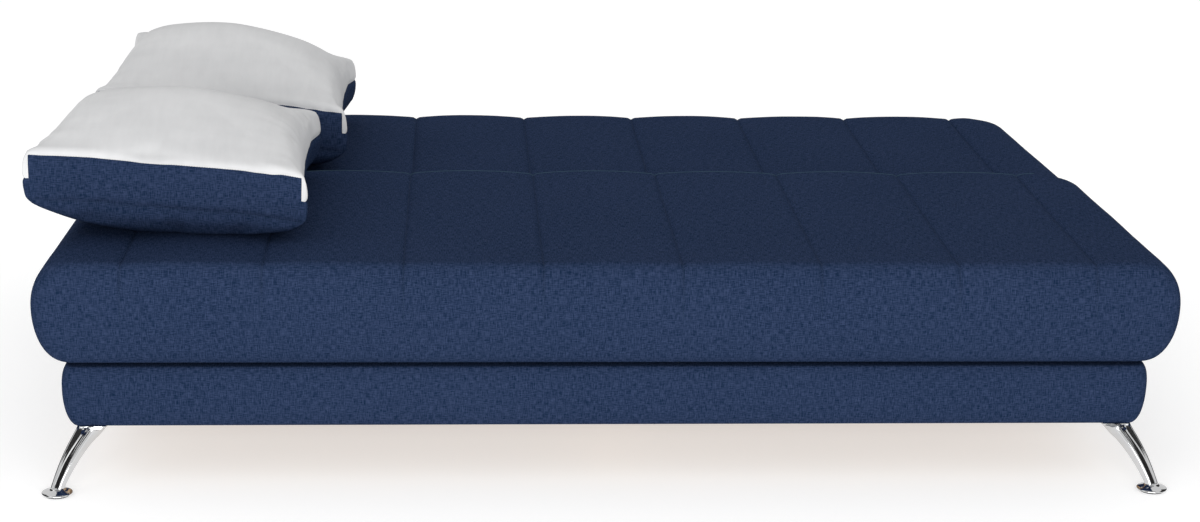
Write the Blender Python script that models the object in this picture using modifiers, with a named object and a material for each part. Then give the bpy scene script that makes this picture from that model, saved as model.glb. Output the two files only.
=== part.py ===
"""Click-clack sofa bed, laid flat, with a bedding box, four horn legs and two loose pillows.

Metres, +Z up, +X along the width, -Y towards the sitter's side. The origin is on the floor, at the
middle of the footprint. The seat and the back turn about one hinge line that runs along X.
"""
import math

import bmesh
import bpy
from mathutils import Vector

# Clearances
GAP = 0.0003              # between pieces that touch
PLATE_AIR = 0.0008        # between the plates of a hinge
SLOT_AIR = 0.004          # between a hinge and the slot in the padding

# Seat and back panels
PANEL_HALF_WIDTH = 1.0    # at the fullest point of the rolled ends
PANEL_BOTTOM_Z = 0.223
SEAT_TOP_Z = 0.404
BACK_TOP_Z = 0.362
WIDEST_SHARE = 0.57       # height of the fullest point, as a share of the panel's thickness
SEAT_DEPTH = 0.730        # hinge line to the fullest point of the front
BACK_DEPTH = 0.686
END_BULGE = 0.055         # how far the rolled ends draw in at the top and the bottom
FRONT_BULGE = 0.036       # the same along the two outer long edges
ROLL_FULLNESS = 2.6       # 2 would be a true ellipse
PANEL_CORNER = 0.030      # corner radius from above
PANEL_LEVELS = 12
HINGE_Y = 0.045
HINGE_BELOW_BACK_TOP = 0.017
JOINT_GAP = 0.002         # between the two rounded joint ends
SLOT_SKIN = 0.012         # least padding over a hinge slot
CUT_BELOW = 0.010         # how far a cutter reaches out under the panel

# Bedding box
BOX_TOP_Z = 0.216
BOX_BOTTOM_Z = 0.104
BOX_END_INSET = 0.054     # box inside the rolled ends of the panels
BOX_FRONT_INSET = 0.021
BOX_BEHIND_HINGE = 0.255
BOX_BULGE = 0.016
BOX_CORNER = 0.0144
PAD_LEVELS = 8
PAD_THICKNESS = 0.034
BOARD = 0.018
BOARD_BELOW_PAD = 0.004   # top edge of the boards under the top of the pads
BOARD_EASE = 0.0015       # eased edges of boards and rails
FLOOR_PANEL = 0.008
FLOOR_PANEL_Z = 0.124
CENTRE_RAIL_WIDTH = 0.040

# Legs
LEG_FROM_BOX_END = 0.039
LEG_FROM_BOX_EDGE = 0.034
LEG_SPLAY_X = 0.053
LEG_SPLAY_Y = 0.073
LEG_BOW = 0.012
LEG_TOP_WIDTH = 0.038
LEG_FOOT_WIDTH = 0.020
LEG_TOP_THICKNESS = 0.030
LEG_FOOT_THICKNESS = 0.013
LEG_EASE = 0.15           # rounding of the section, as a share of its width
LEG_GROOVE = 0.35         # depth of the outer groove, as a share of the thickness
LEG_LIP = (1.6, 2.4)      # top and bottom of the groove's wall, in roundings from the edge
LEG_STEPS = 8
PLATE_SIDE = 0.046
PLATE_INWARD = (0.003, 0.010)    # middle of the plate from the middle of the horn's top
PLATE_THICKNESS = 0.003
PLATE_EASE = 0.0006
FOOT_RADIUS = 0.027
FOOT_HEIGHT = 0.010
FOOT_NECK_RADIUS = 0.013
FOOT_NECK = 0.003         # upright part of the foot under its crown
FOOT_RIM = 0.0025
GLIDE_RADIUS = 0.022
GLIDE_HEIGHT = 0.003

# Hinges
HINGE_PLATE = 0.004
RING_RADIUS = 0.016
BOLT_RADIUS = 0.006
BOLT_CLEARANCE = 0.0003
BOLT_HEAD_RADIUS = 0.011
BOLT_HEAD = 0.004
RATCHET_RADIUS = 0.050
TOOTH_DEPTH = 0.005
TOOTH_COUNT = 9
RATCHET_START = math.radians(-172.0)
RATCHET_END = math.radians(-82.0)
PAWL_DISTANCE = 0.086
PAWL_ANGLE = math.radians(-152.0)
PAWL_RADIUS = 0.009
PAWL_TIP_AIR = 0.0012
PAWL_NOSE_TURN = math.radians(16.0)
PAWL_NOSE_BELOW = (-0.007, -0.013)
PAWL_NOSE_ABOVE = (-0.010, 0.008)
TOOTH_FACE = 0.85         # long flank of a tooth, as a share of the pitch
BRACKET_FOOT = 0.060
BRACKET_BELOW_TOP = 0.070
BRACKET_SHOULDER = 0.020
BRACKET_NECK_BELOW = 0.006
BRACKET_WAIST = 0.002
BRACKET_EAR = 0.3         # how far the ear's arc runs past its half turn, in radians
STRAP_LENGTH = 0.170
STRAP_EDGE = 0.006
STRAP_END_BACK = 0.012    # the strap starts this far before the frame
STRAP_CHAMFER = 0.014
CRANK_REACH = 0.058
CRANK_SHARE = 0.66        # height of the crank's knee between the strap and the pivot
SHOULDER_SHARE = 0.31
WAIST_RISE = 0.005
SEAT_ARM_THROAT = (-0.040, -0.056)
BACK_ARM_THROAT = (0.024, -0.060)

# Timber frames inside the panels
RAIL_WIDTH = 0.022
RAIL_HEIGHT = 0.055
RAIL_LIFT = 0.008         # frame above the underside of the padding
CROSS_RAIL_WIDTH = 0.030
CROSS_RAIL_LIFT = 0.010
CROSS_RAIL_X = (-0.30, 0.30)
FRAME_EDGE = 0.060        # padding beyond the frame at the outer long edge
FRAME_FROM_HINGE = 0.125
RECESS_AIR = 0.006
CLOTH_THICKNESS = 0.002

# Rubber bumpers between box and seat
BUMPER_RADIUS = 0.009
BUMPER_EASE = 0.002
BUMPER_FROM_FRONT = 0.16
BUMPER_FROM_REAR = 0.08

# Pillows
PILLOW_WIDTH = 0.483
PILLOW_DEPTH = 0.520
PILLOW_GUSSET = 0.080
FRONT_PILLOW_BELLY = 0.062    # underside of the gusset above the bed, at the middle
REAR_PILLOW_BELLY = 0.074
PILLOW_CROWN = 0.052
PILLOW_ROLL = 0.045       # how much higher the outer side lies
PILLOW_CORNER = 0.055
FRONT_PILLOW_OVERHANG = 0.018     # beyond the rolled end on the left
REAR_PILLOW_INSET = 0.023
FRONT_PILLOW_FROM_HINGE = 0.065
REAR_PILLOW_FROM_HINGE = 0.085
PILLOW_LIFT = 0.0015
UNDERSIDE_RINGS = ((0.0, 0.110, 0.0), (0.30, 0.045, 0.25))    # share of the belly, inset, share of the roll
CROWN_RINGS = ((0.55, 0.060, 0.6), (1.0, 0.150, 0.25))        # share of the crown, inset, share of the roll
GUSSET_INSET = 0.006      # how far the seams draw in beside the middle of the gusset

# Values that follow from the ones above
HINGE_Z = BACK_TOP_Z - HINGE_BELOW_BACK_TOP
BOX_HALF_WIDTH = PANEL_HALF_WIDTH - BOX_END_INSET
BOX_FRONT_Y = HINGE_Y - SEAT_DEPTH + BOX_FRONT_INSET
BOX_REAR_Y = HINGE_Y + BOX_BEHIND_HINGE
BOX_PANEL_FRONT_Y = BOX_FRONT_Y + PAD_THICKNESS
BOX_PANEL_REAR_Y = BOX_REAR_Y - PAD_THICKNESS
BOX_PANEL_X = BOX_HALF_WIDTH - PAD_THICKNESS
BOX_INSIDE_X = BOX_PANEL_X - BOARD
BRACKET_X = BOX_INSIDE_X - GAP - HINGE_PLATE
SEAT_ARM_X = BRACKET_X - PLATE_AIR - HINGE_PLATE
BACK_ARM_X = SEAT_ARM_X - PLATE_AIR - HINGE_PLATE
SLOT_INNER_X = BACK_ARM_X - BOLT_HEAD - PLATE_AIR - SLOT_AIR
SLOT_OUTER_X = BOX_INSIDE_X + SLOT_AIR
RECESS_X = SEAT_ARM_X + HINGE_PLATE + RECESS_AIR
RAIL_BOTTOM_Z = PANEL_BOTTOM_Z + RAIL_LIFT
RAIL_TOP_Z = RAIL_BOTTOM_Z + RAIL_HEIGHT
RECESS_TOP_Z = RAIL_TOP_Z + RECESS_AIR
PLATE_BOTTOM_Z = BOX_BOTTOM_Z - GAP - PLATE_THICKNESS
LEG_TOP_X = BOX_HALF_WIDTH - LEG_FROM_BOX_END
FRONT_PILLOW_X = PILLOW_WIDTH / 2 - PANEL_HALF_WIDTH - FRONT_PILLOW_OVERHANG
FRONT_PILLOW_Y = HINGE_Y - FRONT_PILLOW_FROM_HINGE - PILLOW_DEPTH
REAR_PILLOW_X = PILLOW_WIDTH / 2 - PANEL_HALF_WIDTH + REAR_PILLOW_INSET
REAR_PILLOW_Y = HINGE_Y + REAR_PILLOW_FROM_HINGE

COLOURS = {
    "navy_fabric": ((0.020, 0.045, 0.105), 0.9, 0.0),
    "pillow_fabric": ((0.62, 0.63, 0.65), 0.9, 0.0),
    "timber": ((0.55, 0.38, 0.22), 0.6, 0.0),
    "panel_board": ((0.48, 0.36, 0.24), 0.7, 0.0),
    "chrome": ((0.80, 0.80, 0.81), 0.08, 1.0),
    "zinc_steel": ((0.50, 0.51, 0.53), 0.35, 1.0),
    "black_plastic": ((0.02, 0.02, 0.02), 0.5, 0.0),
    "black_rubber": ((0.015, 0.015, 0.015), 0.8, 0.0),
    "lining_cloth": ((0.03, 0.03, 0.035), 0.95, 0.0),
}
SIDES = (("left", -1), ("right", 1))
SHARP_FROM = math.radians(35.0)


def clear_scene():
    """Remove every object that the file opened with."""
    for item in list(bpy.data.objects):
        bpy.data.objects.remove(item, do_unlink=True)


def new_collection(name):
    """Make a collection in the scene."""
    collection = bpy.data.collections.new(name)
    bpy.context.scene.collection.children.link(collection)
    return collection


def finish(name):
    """The material of that name, made once."""
    material = bpy.data.materials.get(name)
    if material:
        return material
    colour, roughness, metallic = COLOURS[name]
    material = bpy.data.materials.new(name)
    material.use_nodes = True
    shader = material.node_tree.nodes["Principled BSDF"]
    shader.inputs["Base Color"].default_value = (*colour, 1.0)
    shader.inputs["Roughness"].default_value = roughness
    shader.inputs["Metallic"].default_value = metallic
    return material


def add_object(name, mesh, material, collection):
    """Link a mesh as a named object with its own finish."""
    item = bpy.data.objects.new(name, mesh)
    collection.objects.link(item)
    if material:
        mesh.materials.append(finish(material))
    return item


def bm_object(name, bm, material, collection):
    """Turn a bmesh into a named object."""
    mesh = bpy.data.meshes.new(name)
    bm.to_mesh(mesh)
    bm.free()
    return add_object(name, mesh, material, collection)


def box(name, low, high, material, collection, bevel=0.0):
    """A rectangular block between two corners, with its edges eased."""
    low, high = Vector(low), Vector(high)
    bm = bmesh.new()
    bmesh.ops.create_cube(bm, size=1.0)
    bmesh.ops.scale(bm, vec=high - low, verts=bm.verts)
    item = bm_object(name, bm, material, collection)
    item.location = (low + high) / 2
    if bevel:
        edge = item.modifiers.new("edges", "BEVEL")
        edge.width = bevel
        edge.segments = 1
    return item


def mirrored_x(x0, x1, side):
    """The lower and upper X of a span on the named side."""
    return (x0, x1) if side > 0 else (-x1, -x0)


def turned(name, profile, segments, material, collection):
    """A turned piece: a profile of radius and height, listed top to bottom, swept round Z."""
    mesh = bpy.data.meshes.new(name)
    points = [(radius, 0.0, height) for radius, height in profile]
    mesh.from_pydata(points, [(i, i + 1) for i in range(len(points) - 1)], [])
    item = add_object(name, mesh, material, collection)
    sweep = item.modifiers.new("sweep", "SCREW")
    sweep.steps = segments
    sweep.render_steps = segments
    sweep.use_merge_vertices = True
    sweep.merge_threshold = 0.0001
    sweep.use_smooth_shade = True
    return item


def flat_plate(name, outline, holes, x_low, thickness, side, material, collection):
    """A flat plate that stands in the YZ plane, cut from a filled curve with round holes."""
    curve = bpy.data.curves.new(name, "CURVE")
    curve.dimensions = "2D"
    curve.fill_mode = "BOTH"
    curve.extrude = thickness / 2
    for loop in [outline, *holes]:
        spline = curve.splines.new("POLY")
        spline.points.add(len(loop) - 1)
        for point, (y, z) in zip(spline.points, loop):
            point.co = (y, z, 0.0, 1.0)
        spline.use_cyclic_u = True
    guide = bpy.data.objects.new(name + "_curve", curve)
    collection.objects.link(guide)
    bpy.context.view_layer.update()
    evaluated = guide.evaluated_get(bpy.context.evaluated_depsgraph_get())
    mesh = bpy.data.meshes.new_from_object(evaluated)
    bpy.data.objects.remove(guide, do_unlink=True)
    bm = bmesh.new()
    bm.from_mesh(mesh)
    bmesh.ops.remove_doubles(bm, verts=bm.verts, dist=0.00001)
    bmesh.ops.recalc_face_normals(bm, faces=bm.faces)
    bpy.data.meshes.remove(mesh)
    item = bm_object(name, bm, material, collection)
    item.rotation_euler = (math.pi / 2, 0.0, math.pi / 2)
    item.location.x = side * (x_low + thickness / 2)
    return item


def loft(name, rings, material, collection):
    """A closed skin over rings of equal length, listed from bottom to top, anticlockwise."""
    bm = bmesh.new()
    rows = [[bm.verts.new(point) for point in ring] for ring in rings]
    count = len(rows[0])
    for low, high in zip(rows, rows[1:]):
        for i in range(count):
            j = (i + 1) % count
            bm.faces.new((low[i], low[j], high[j], high[i]))
    bm.faces.new(rows[0][::-1])
    bm.faces.new(rows[-1])
    item = bm_object(name, bm, material, collection)
    item.data.shade_smooth()
    item.data.set_sharp_from_angle(angle=SHARP_FROM)
    return item


def rounded_rectangle(x0, x1, y0, y1, radius, steps):
    """Points of a rectangle with round corners, anticlockwise from its low corner."""
    corners = (
        (x0 + radius, y0 + radius, math.pi),
        (x1 - radius, y0 + radius, 1.5 * math.pi),
        (x1 - radius, y1 - radius, 0.0),
        (x0 + radius, y1 - radius, 0.5 * math.pi),
    )
    points = []
    for cx, cy, start in corners:
        for i in range(steps + 1):
            angle = start + 0.5 * math.pi * i / steps
            points.append((cx + radius * math.cos(angle), cy + radius * math.sin(angle)))
    return points


def arc(cy, cz, radius, start, end, steps):
    """Points of an arc in the YZ plane, from one angle to another."""
    turns = [start + (end - start) * i / steps for i in range(steps + 1)]
    return [(cy + radius * math.cos(a), cz + radius * math.sin(a)) for a in turns]


def circle(cy, cz, radius, steps):
    """Points of a circle in the YZ plane."""
    return arc(cy, cz, radius, 0.0, 2 * math.pi, steps)[:-1]


def tuck(z, low, widest, high, bulge):
    """How far a rolled side draws in at height z, none at its widest height."""
    reach = (widest - z) / (widest - low) if z < widest else (z - widest) / (high - widest)
    short = 1.0 - min(abs(reach), 1.0) ** ROLL_FULLNESS
    return bulge * (1.0 - short ** (1.0 / ROLL_FULLNESS))


def bullnose(z, low, high):
    """How far a half-round joint end draws back at height z."""
    radius = (high - low) / 2
    rise = z - (low + high) / 2
    return radius - math.sqrt(max(radius**2 - rise**2, 0.0))


def heights(low, high, steps):
    """Heights from low to high, closer together at both ends."""
    middle, half = (low + high) / 2, (high - low) / 2
    return [middle - half * math.cos(math.pi * i / steps) for i in range(steps + 1)]


def cutter_from(item):
    """Mark an object as a cutter: drawn as wire, never rendered."""
    item.hide_render = True
    item.display_type = "WIRE"
    return item


def cut(item, cutter):
    """Take the cutter's space out of an object."""
    boolean = item.modifiers.new("cut_" + cutter.name, "BOOLEAN")
    boolean.operation = "DIFFERENCE"
    boolean.solver = "EXACT"
    boolean.object = cutter


def panel_padding(name, towards, depth, top_z, parts):
    """Padding of one panel. towards is -1 for the seat and +1 for the back."""
    rings = []
    widest = PANEL_BOTTOM_Z + WIDEST_SHARE * (top_z - PANEL_BOTTOM_Z)
    for z in heights(PANEL_BOTTOM_Z, top_z, PANEL_LEVELS):
        half = PANEL_HALF_WIDTH - tuck(z, PANEL_BOTTOM_Z, widest, top_z, END_BULGE)
        joint = HINGE_Y + towards * (JOINT_GAP / 2 + bullnose(z, PANEL_BOTTOM_Z, top_z))
        outer = HINGE_Y + towards * (depth - tuck(z, PANEL_BOTTOM_Z, widest, top_z, FRONT_BULGE))
        low, high = min(joint, outer), max(joint, outer)
        outline = rounded_rectangle(-half, half, low, high, PANEL_CORNER, 3)
        rings.append([(x, y, z) for x, y in outline])
    return loft(name, rings, "navy_fabric", parts)


def frame_span(towards, depth):
    """Lower and upper Y of the timber frame in a panel."""
    near = HINGE_Y + towards * FRAME_FROM_HINGE
    far = HINGE_Y + towards * (depth - FRAME_EDGE)
    return min(near, far), max(near, far)


def hollow_panel(padding, name, towards, depth, top_z, cutters):
    """Cut the frame's recess and the two hinge slots in the underside of a panel's padding."""
    low_y, high_y = frame_span(towards, depth)
    below = PANEL_BOTTOM_Z - CUT_BELOW
    recess = box(
        name + "_recess",
        (-RECESS_X, low_y - RECESS_AIR, below),
        (RECESS_X, high_y + RECESS_AIR, RECESS_TOP_Z),
        None,
        cutters,
    )
    cut(padding, cutter_from(recess))
    reaches = (
        ("slot", FRAME_FROM_HINGE + 2 * RECESS_AIR, slot_top(top_z)),
        ("ring_pocket", RING_RADIUS + SLOT_AIR, HINGE_Z + RING_RADIUS + SLOT_AIR + GAP),
    )
    for word, side in SIDES:
        x0, x1 = mirrored_x(SLOT_INNER_X, SLOT_OUTER_X, side)
        for space, reach, top in reaches:
            far, near = HINGE_Y + towards * reach, HINGE_Y - towards * JOINT_GAP
            low, high = (x0, min(far, near), below), (x1, max(far, near), top)
            pocket = box(f"{name}_{word}_{space}", low, high, None, cutters)
            cut(padding, cutter_from(pocket))


def panel_frame(name, towards, depth, arm_x, parts):
    """The timber frame of one panel: two long rails, two end rails and two cross rails."""
    low_y, high_y = frame_span(towards, depth)
    outer_x = arm_x - GAP
    inner_x = outer_x - RAIL_WIDTH
    z = (RAIL_BOTTOM_Z, RAIL_TOP_Z)
    near, far = ("rear", "front") if towards < 0 else ("front", "rear")
    spans = {near: high_y if towards < 0 else low_y, far: low_y if towards < 0 else high_y}
    for word, y in spans.items():
        edge = (y - RAIL_WIDTH, y) if y == high_y else (y, y + RAIL_WIDTH)
        low, high = (-inner_x + GAP, edge[0], z[0]), (inner_x - GAP, edge[1], z[1])
        box(f"{name}_{word}_rail", low, high, "timber", parts, BOARD_EASE)
    for word, side in SIDES:
        x0, x1 = mirrored_x(inner_x, outer_x, side)
        box(f"{name}_{word}_rail", (x0, low_y, z[0]), (x1, high_y, z[1]), "timber", parts, BOARD_EASE)
    inside = (low_y + RAIL_WIDTH + GAP, high_y - RAIL_WIDTH - GAP)
    for word, x in zip(("left", "right"), CROSS_RAIL_X):
        low = (x - CROSS_RAIL_WIDTH / 2, inside[0], z[0] + CROSS_RAIL_LIFT)
        high = (x + CROSS_RAIL_WIDTH / 2, inside[1], z[1])
        box(f"{name}_{word}_cross_rail", low, high, "timber", parts, BOARD_EASE)
    cloth_top = RAIL_BOTTOM_Z - GAP
    low = (-inner_x, low_y, cloth_top - CLOTH_THICKNESS)
    high = (inner_x, high_y, cloth_top)
    box(f"{name}_dust_cloth", low, high, "lining_cloth", parts)


def bedding_box(parts):
    """Front, rear and end boards, the floor panel and the rail under it."""
    top = BOX_TOP_Z - BOARD_BELOW_PAD
    low_z = BOX_BOTTOM_Z
    front, rear = BOX_PANEL_FRONT_Y, BOX_PANEL_REAR_Y
    inside_x = BOX_INSIDE_X
    end_low, end_high = front + BOARD + GAP, rear - BOARD - GAP
    full = BOX_PANEL_X
    for word, y0 in (("front", front), ("rear", rear - BOARD)):
        low, high = (-full, y0, low_z), (full, y0 + BOARD, top)
        box(f"box_{word}_board", low, high, "timber", parts, BOARD_EASE)
    for word, side in SIDES:
        x0, x1 = mirrored_x(inside_x, full, side)
        box(f"box_{word}_board", (x0, end_low, low_z), (x1, end_high, top), "timber", parts, BOARD_EASE)
    clear_x = BRACKET_X - GAP
    low = (-clear_x, end_low, FLOOR_PANEL_Z)
    high = (clear_x, end_high, FLOOR_PANEL_Z + FLOOR_PANEL)
    box("box_floor_panel", low, high, "panel_board", parts)
    half = CENTRE_RAIL_WIDTH / 2
    low = (-half, end_low, low_z)
    box("box_centre_rail", low, (half, end_high, FLOOR_PANEL_Z - GAP), "timber", parts, BOARD_EASE)


def box_pads(parts):
    """Padding round the box: full-width front and rear pads, with end pads between them."""
    widest = (BOX_TOP_Z + BOX_BOTTOM_Z) / 2
    levels = heights(BOX_BOTTOM_Z, BOX_TOP_Z, PAD_LEVELS)
    draws = [tuck(z, BOX_BOTTOM_Z, widest, BOX_TOP_Z, BOX_BULGE) for z in levels]
    front_in, rear_in = BOX_PANEL_FRONT_Y - GAP, BOX_PANEL_REAR_Y + GAP
    for word, outer, inner in (("front", BOX_FRONT_Y, front_in), ("rear", BOX_REAR_Y, rear_in)):
        towards = -1 if word == "front" else 1
        rings = []
        for z, draw in zip(levels, draws):
            half = BOX_HALF_WIDTH - draw
            y_out = outer - towards * draw
            rings.append(pad_outline(half, y_out, inner, towards, BOX_CORNER, z))
        loft(f"box_{word}_pad", rings, "navy_fabric", parts)
    for word, side in SIDES:
        rings = []
        for z, draw in zip(levels, draws):
            x0, x1 = mirrored_x(BOX_PANEL_X + GAP, BOX_HALF_WIDTH - draw, side)
            y0, y1 = front_in + GAP, rear_in - GAP
            rings.append([(x0, y0, z), (x1, y0, z), (x1, y1, z), (x0, y1, z)])
        loft(f"box_{word}_pad", rings, "navy_fabric", parts)


def pad_outline(half, outer, inner, towards, radius, z):
    """A strip with its two outer corners rounded, anticlockwise from above."""
    points = []
    for sign in (-1, 1):
        centre = (sign * (half - radius), outer - towards * radius)
        turns = range(5) if sign < 0 else range(4, -1, -1)
        for i in turns:
            angle = 0.5 * math.pi * i / 4
            x = centre[0] + sign * radius * math.cos(angle)
            y = centre[1] + towards * radius * math.sin(angle)
            points.append((x, y, z))
    points += [(half, inner, z), (-half, inner, z)]
    return points if towards < 0 else points[::-1]


def leg_path(share):
    """Outward run and height of the horn's middle line, from its plate (0) to its foot (1)."""
    splay = math.hypot(LEG_SPLAY_X, LEG_SPLAY_Y)
    top_z = PLATE_BOTTOM_Z - GAP
    foot_z = GLIDE_HEIGHT + FOOT_HEIGHT + 2 * GAP
    drop = top_z - foot_z
    length = math.hypot(splay, drop)
    bow = 2 * LEG_BOW
    control = (splay / 2 + bow * drop / length, (top_z + foot_z) / 2 + bow * splay / length)
    start, end = (0.0, top_z), (splay, foot_z)
    rest = 1.0 - share
    weights = (rest**2, 2 * rest * share, share**2)
    run = weights[0] * start[0] + weights[1] * control[0] + weights[2] * end[0]
    height = weights[0] * start[1] + weights[1] * control[1] + weights[2] * end[1]
    return run, height


def leg_section(width, thickness):
    """Across and outward points of the horn's section, with a groove in its outer face."""
    half, deep = width / 2, thickness / 2
    groove = LEG_GROOVE * thickness
    ease = LEG_EASE * width
    lip, foot = LEG_LIP[0] * ease, LEG_LIP[1] * ease
    return [
        (-half, -deep + ease), (-half + ease, -deep), (half - ease, -deep), (half, -deep + ease),
        (half, deep - ease / 2), (half - ease / 2, deep), (half - lip, deep),
        (half - foot, deep - groove), (-half + foot, deep - groove),
        (-half + lip, deep), (-half + ease / 2, deep), (-half, deep - ease / 2),
    ]


def leg(word, sign_x, top_y, sign_y, parts):
    """One horn leg with its mounting plate, foot and glide."""
    splay = math.hypot(LEG_SPLAY_X, LEG_SPLAY_Y)
    out = Vector((sign_x * LEG_SPLAY_X / splay, sign_y * LEG_SPLAY_Y / splay))
    across = Vector((-out.y, out.x))
    rings = []
    for i in range(LEG_STEPS, -1, -1):
        share = i / LEG_STEPS
        run, height = leg_path(share)
        width = LEG_TOP_WIDTH + (LEG_FOOT_WIDTH - LEG_TOP_WIDTH) * share
        thickness = LEG_TOP_THICKNESS + (LEG_FOOT_THICKNESS - LEG_TOP_THICKNESS) * share
        centre = Vector((sign_x * LEG_TOP_X, top_y)) + out * run
        ring = []
        for a, b in leg_section(width, thickness):
            point = centre - across * a + out * b
            ring.append((point.x, point.y, height))
        rings.append(ring)
    if sum(a[0] * b[1] - b[0] * a[1] for a, b in zip(rings[0], rings[0][1:] + rings[0][:1])) < 0:
        rings = [ring[::-1] for ring in rings]
    loft(f"leg_{word}", rings, "chrome", parts)
    half = PLATE_SIDE / 2
    cx, cy = sign_x * (LEG_TOP_X - PLATE_INWARD[0]), top_y - sign_y * PLATE_INWARD[1]
    low = (cx - half, cy - half, PLATE_BOTTOM_Z)
    high = (cx + half, cy + half, PLATE_BOTTOM_Z + PLATE_THICKNESS)
    box(f"leg_plate_{word}", low, high, "chrome", parts, PLATE_EASE)
    foot_at = Vector((sign_x * LEG_TOP_X, top_y)) + out * splay
    crown = GLIDE_HEIGHT + GAP
    profile = [
        (0.0, FOOT_HEIGHT), (FOOT_NECK_RADIUS - FOOT_NECK / 2, FOOT_HEIGHT),
        (FOOT_NECK_RADIUS, FOOT_HEIGHT - FOOT_NECK), (FOOT_RADIUS - 2 * FOOT_RIM, 2 * FOOT_RIM),
        (FOOT_RADIUS, FOOT_RIM), (FOOT_RADIUS, 0.0), (0.0, 0.0),
    ]
    foot = turned(f"leg_foot_{word}", profile, 24, "chrome", parts)
    foot.location = (foot_at.x, foot_at.y, crown)
    profile = [(0.0, GLIDE_HEIGHT), (GLIDE_RADIUS, GLIDE_HEIGHT), (GLIDE_RADIUS, 0.0), (0.0, 0.0)]
    glide = turned(f"leg_glide_{word}", profile, 20, "black_plastic", parts)
    glide.location = (foot_at.x, foot_at.y, 0.0)


def legs(parts):
    """Four horn legs at the corners of the box, splayed outwards."""
    front_y = BOX_FRONT_Y + LEG_FROM_BOX_EDGE
    rear_y = BOX_REAR_Y - LEG_FROM_BOX_EDGE
    for word, sign_x in SIDES:
        leg(f"front_{word}", sign_x, front_y, -1, parts)
        leg(f"rear_{word}", sign_x, rear_y, 1, parts)


def bolt_hole():
    """The round hole that the pivot bolt passes through."""
    return circle(HINGE_Y, HINGE_Z, BOLT_RADIUS + BOLT_CLEARANCE, 20)


def bracket_outline():
    """A foot on the box's end board that narrows to an ear round the pivot."""
    foot = BRACKET_FOOT
    neck = BOX_TOP_Z - BRACKET_NECK_BELOW
    shoulder = neck - BRACKET_SHOULDER
    low = BOX_TOP_Z - BRACKET_BELOW_TOP
    waist = RING_RADIUS - BRACKET_WAIST
    points = [(HINGE_Y - foot, shoulder), (HINGE_Y - foot, low), (HINGE_Y + foot, low)]
    points += [(HINGE_Y + foot, shoulder), (HINGE_Y + waist, neck)]
    points += arc(HINGE_Y, HINGE_Z, RING_RADIUS, -BRACKET_EAR, math.pi + BRACKET_EAR, 14)
    points.append((HINGE_Y - waist, neck))
    return points


def slot_top(top_z):
    """Height of the hinge slots in the panel whose top is at top_z."""
    return min(HINGE_Z + RING_RADIUS + SLOT_AIR, top_z - SLOT_SKIN)


def arm_strap(towards, top_z):
    """A crank down from the pivot to the end rail, and a strap along that rail."""
    start = HINGE_Y + towards * (FRAME_FROM_HINGE - STRAP_END_BACK)
    strap_end = HINGE_Y + towards * (FRAME_FROM_HINGE + STRAP_LENGTH)
    low, high = RAIL_BOTTOM_Z + STRAP_EDGE, RAIL_TOP_Z - STRAP_EDGE
    drop = HINGE_Z - high
    crank = (HINGE_Y + towards * CRANK_REACH, high + CRANK_SHARE * drop)
    waist_z = min(HINGE_Z + WAIST_RISE, slot_top(top_z) - SLOT_AIR)
    waist = (HINGE_Y + towards * (RING_RADIUS + SLOT_AIR), waist_z)
    shoulder = (start, high + SHOULDER_SHARE * drop)
    chamfer = (start + towards * STRAP_CHAMFER, high)
    return [waist, crank, shoulder, chamfer, (strap_end, high), (strap_end, low), (start, low)]


def seat_arm_outline():
    """The seat arm: its ring round the pivot, then its crank and strap."""
    ring = arc(HINGE_Y, HINGE_Z, RING_RADIUS, math.radians(-90.0), math.radians(115.0), 13)
    throat = (HINGE_Y + SEAT_ARM_THROAT[0], HINGE_Z + SEAT_ARM_THROAT[1])
    return ring + arm_strap(-1, SEAT_TOP_Z) + [throat]


def back_arm_outline():
    """The back arm: its ring, its crank and strap, and the ratchet teeth below the pivot."""
    ring = arc(HINGE_Y, HINGE_Z, RING_RADIUS, math.radians(172.0), math.radians(65.0), 7)
    throat = (HINGE_Y + BACK_ARM_THROAT[0], HINGE_Z + BACK_ARM_THROAT[1])
    points = ring + arm_strap(1, BACK_TOP_Z) + [throat]
    pitch = (RATCHET_END - RATCHET_START) / TOOTH_COUNT
    root = RATCHET_RADIUS - TOOTH_DEPTH
    for i in range(TOOTH_COUNT):
        angle = RATCHET_END - i * pitch
        for turn, radius in ((angle, root), (angle - TOOTH_FACE * pitch, RATCHET_RADIUS)):
            points.append((HINGE_Y + radius * math.cos(turn), HINGE_Z + radius * math.sin(turn)))
    return points


def pawl_outline():
    """A short lever whose nose stands just clear of the ratchet's teeth."""
    boss_y = HINGE_Y + PAWL_DISTANCE * math.cos(PAWL_ANGLE)
    boss_z = HINGE_Z + PAWL_DISTANCE * math.sin(PAWL_ANGLE)
    nose_angle = PAWL_ANGLE + PAWL_NOSE_TURN
    reach = RATCHET_RADIUS + PAWL_TIP_AIR
    nose = (HINGE_Y + reach * math.cos(nose_angle), HINGE_Z + reach * math.sin(nose_angle))
    below = (nose[0] + PAWL_NOSE_BELOW[0], nose[1] + PAWL_NOSE_BELOW[1])
    above = (nose[0] + PAWL_NOSE_ABOVE[0], nose[1] + PAWL_NOSE_ABOVE[1])
    points = arc(boss_y, boss_z, PAWL_RADIUS, math.radians(60.0), math.radians(280.0), 12)
    return points + [below, nose, above]


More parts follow.
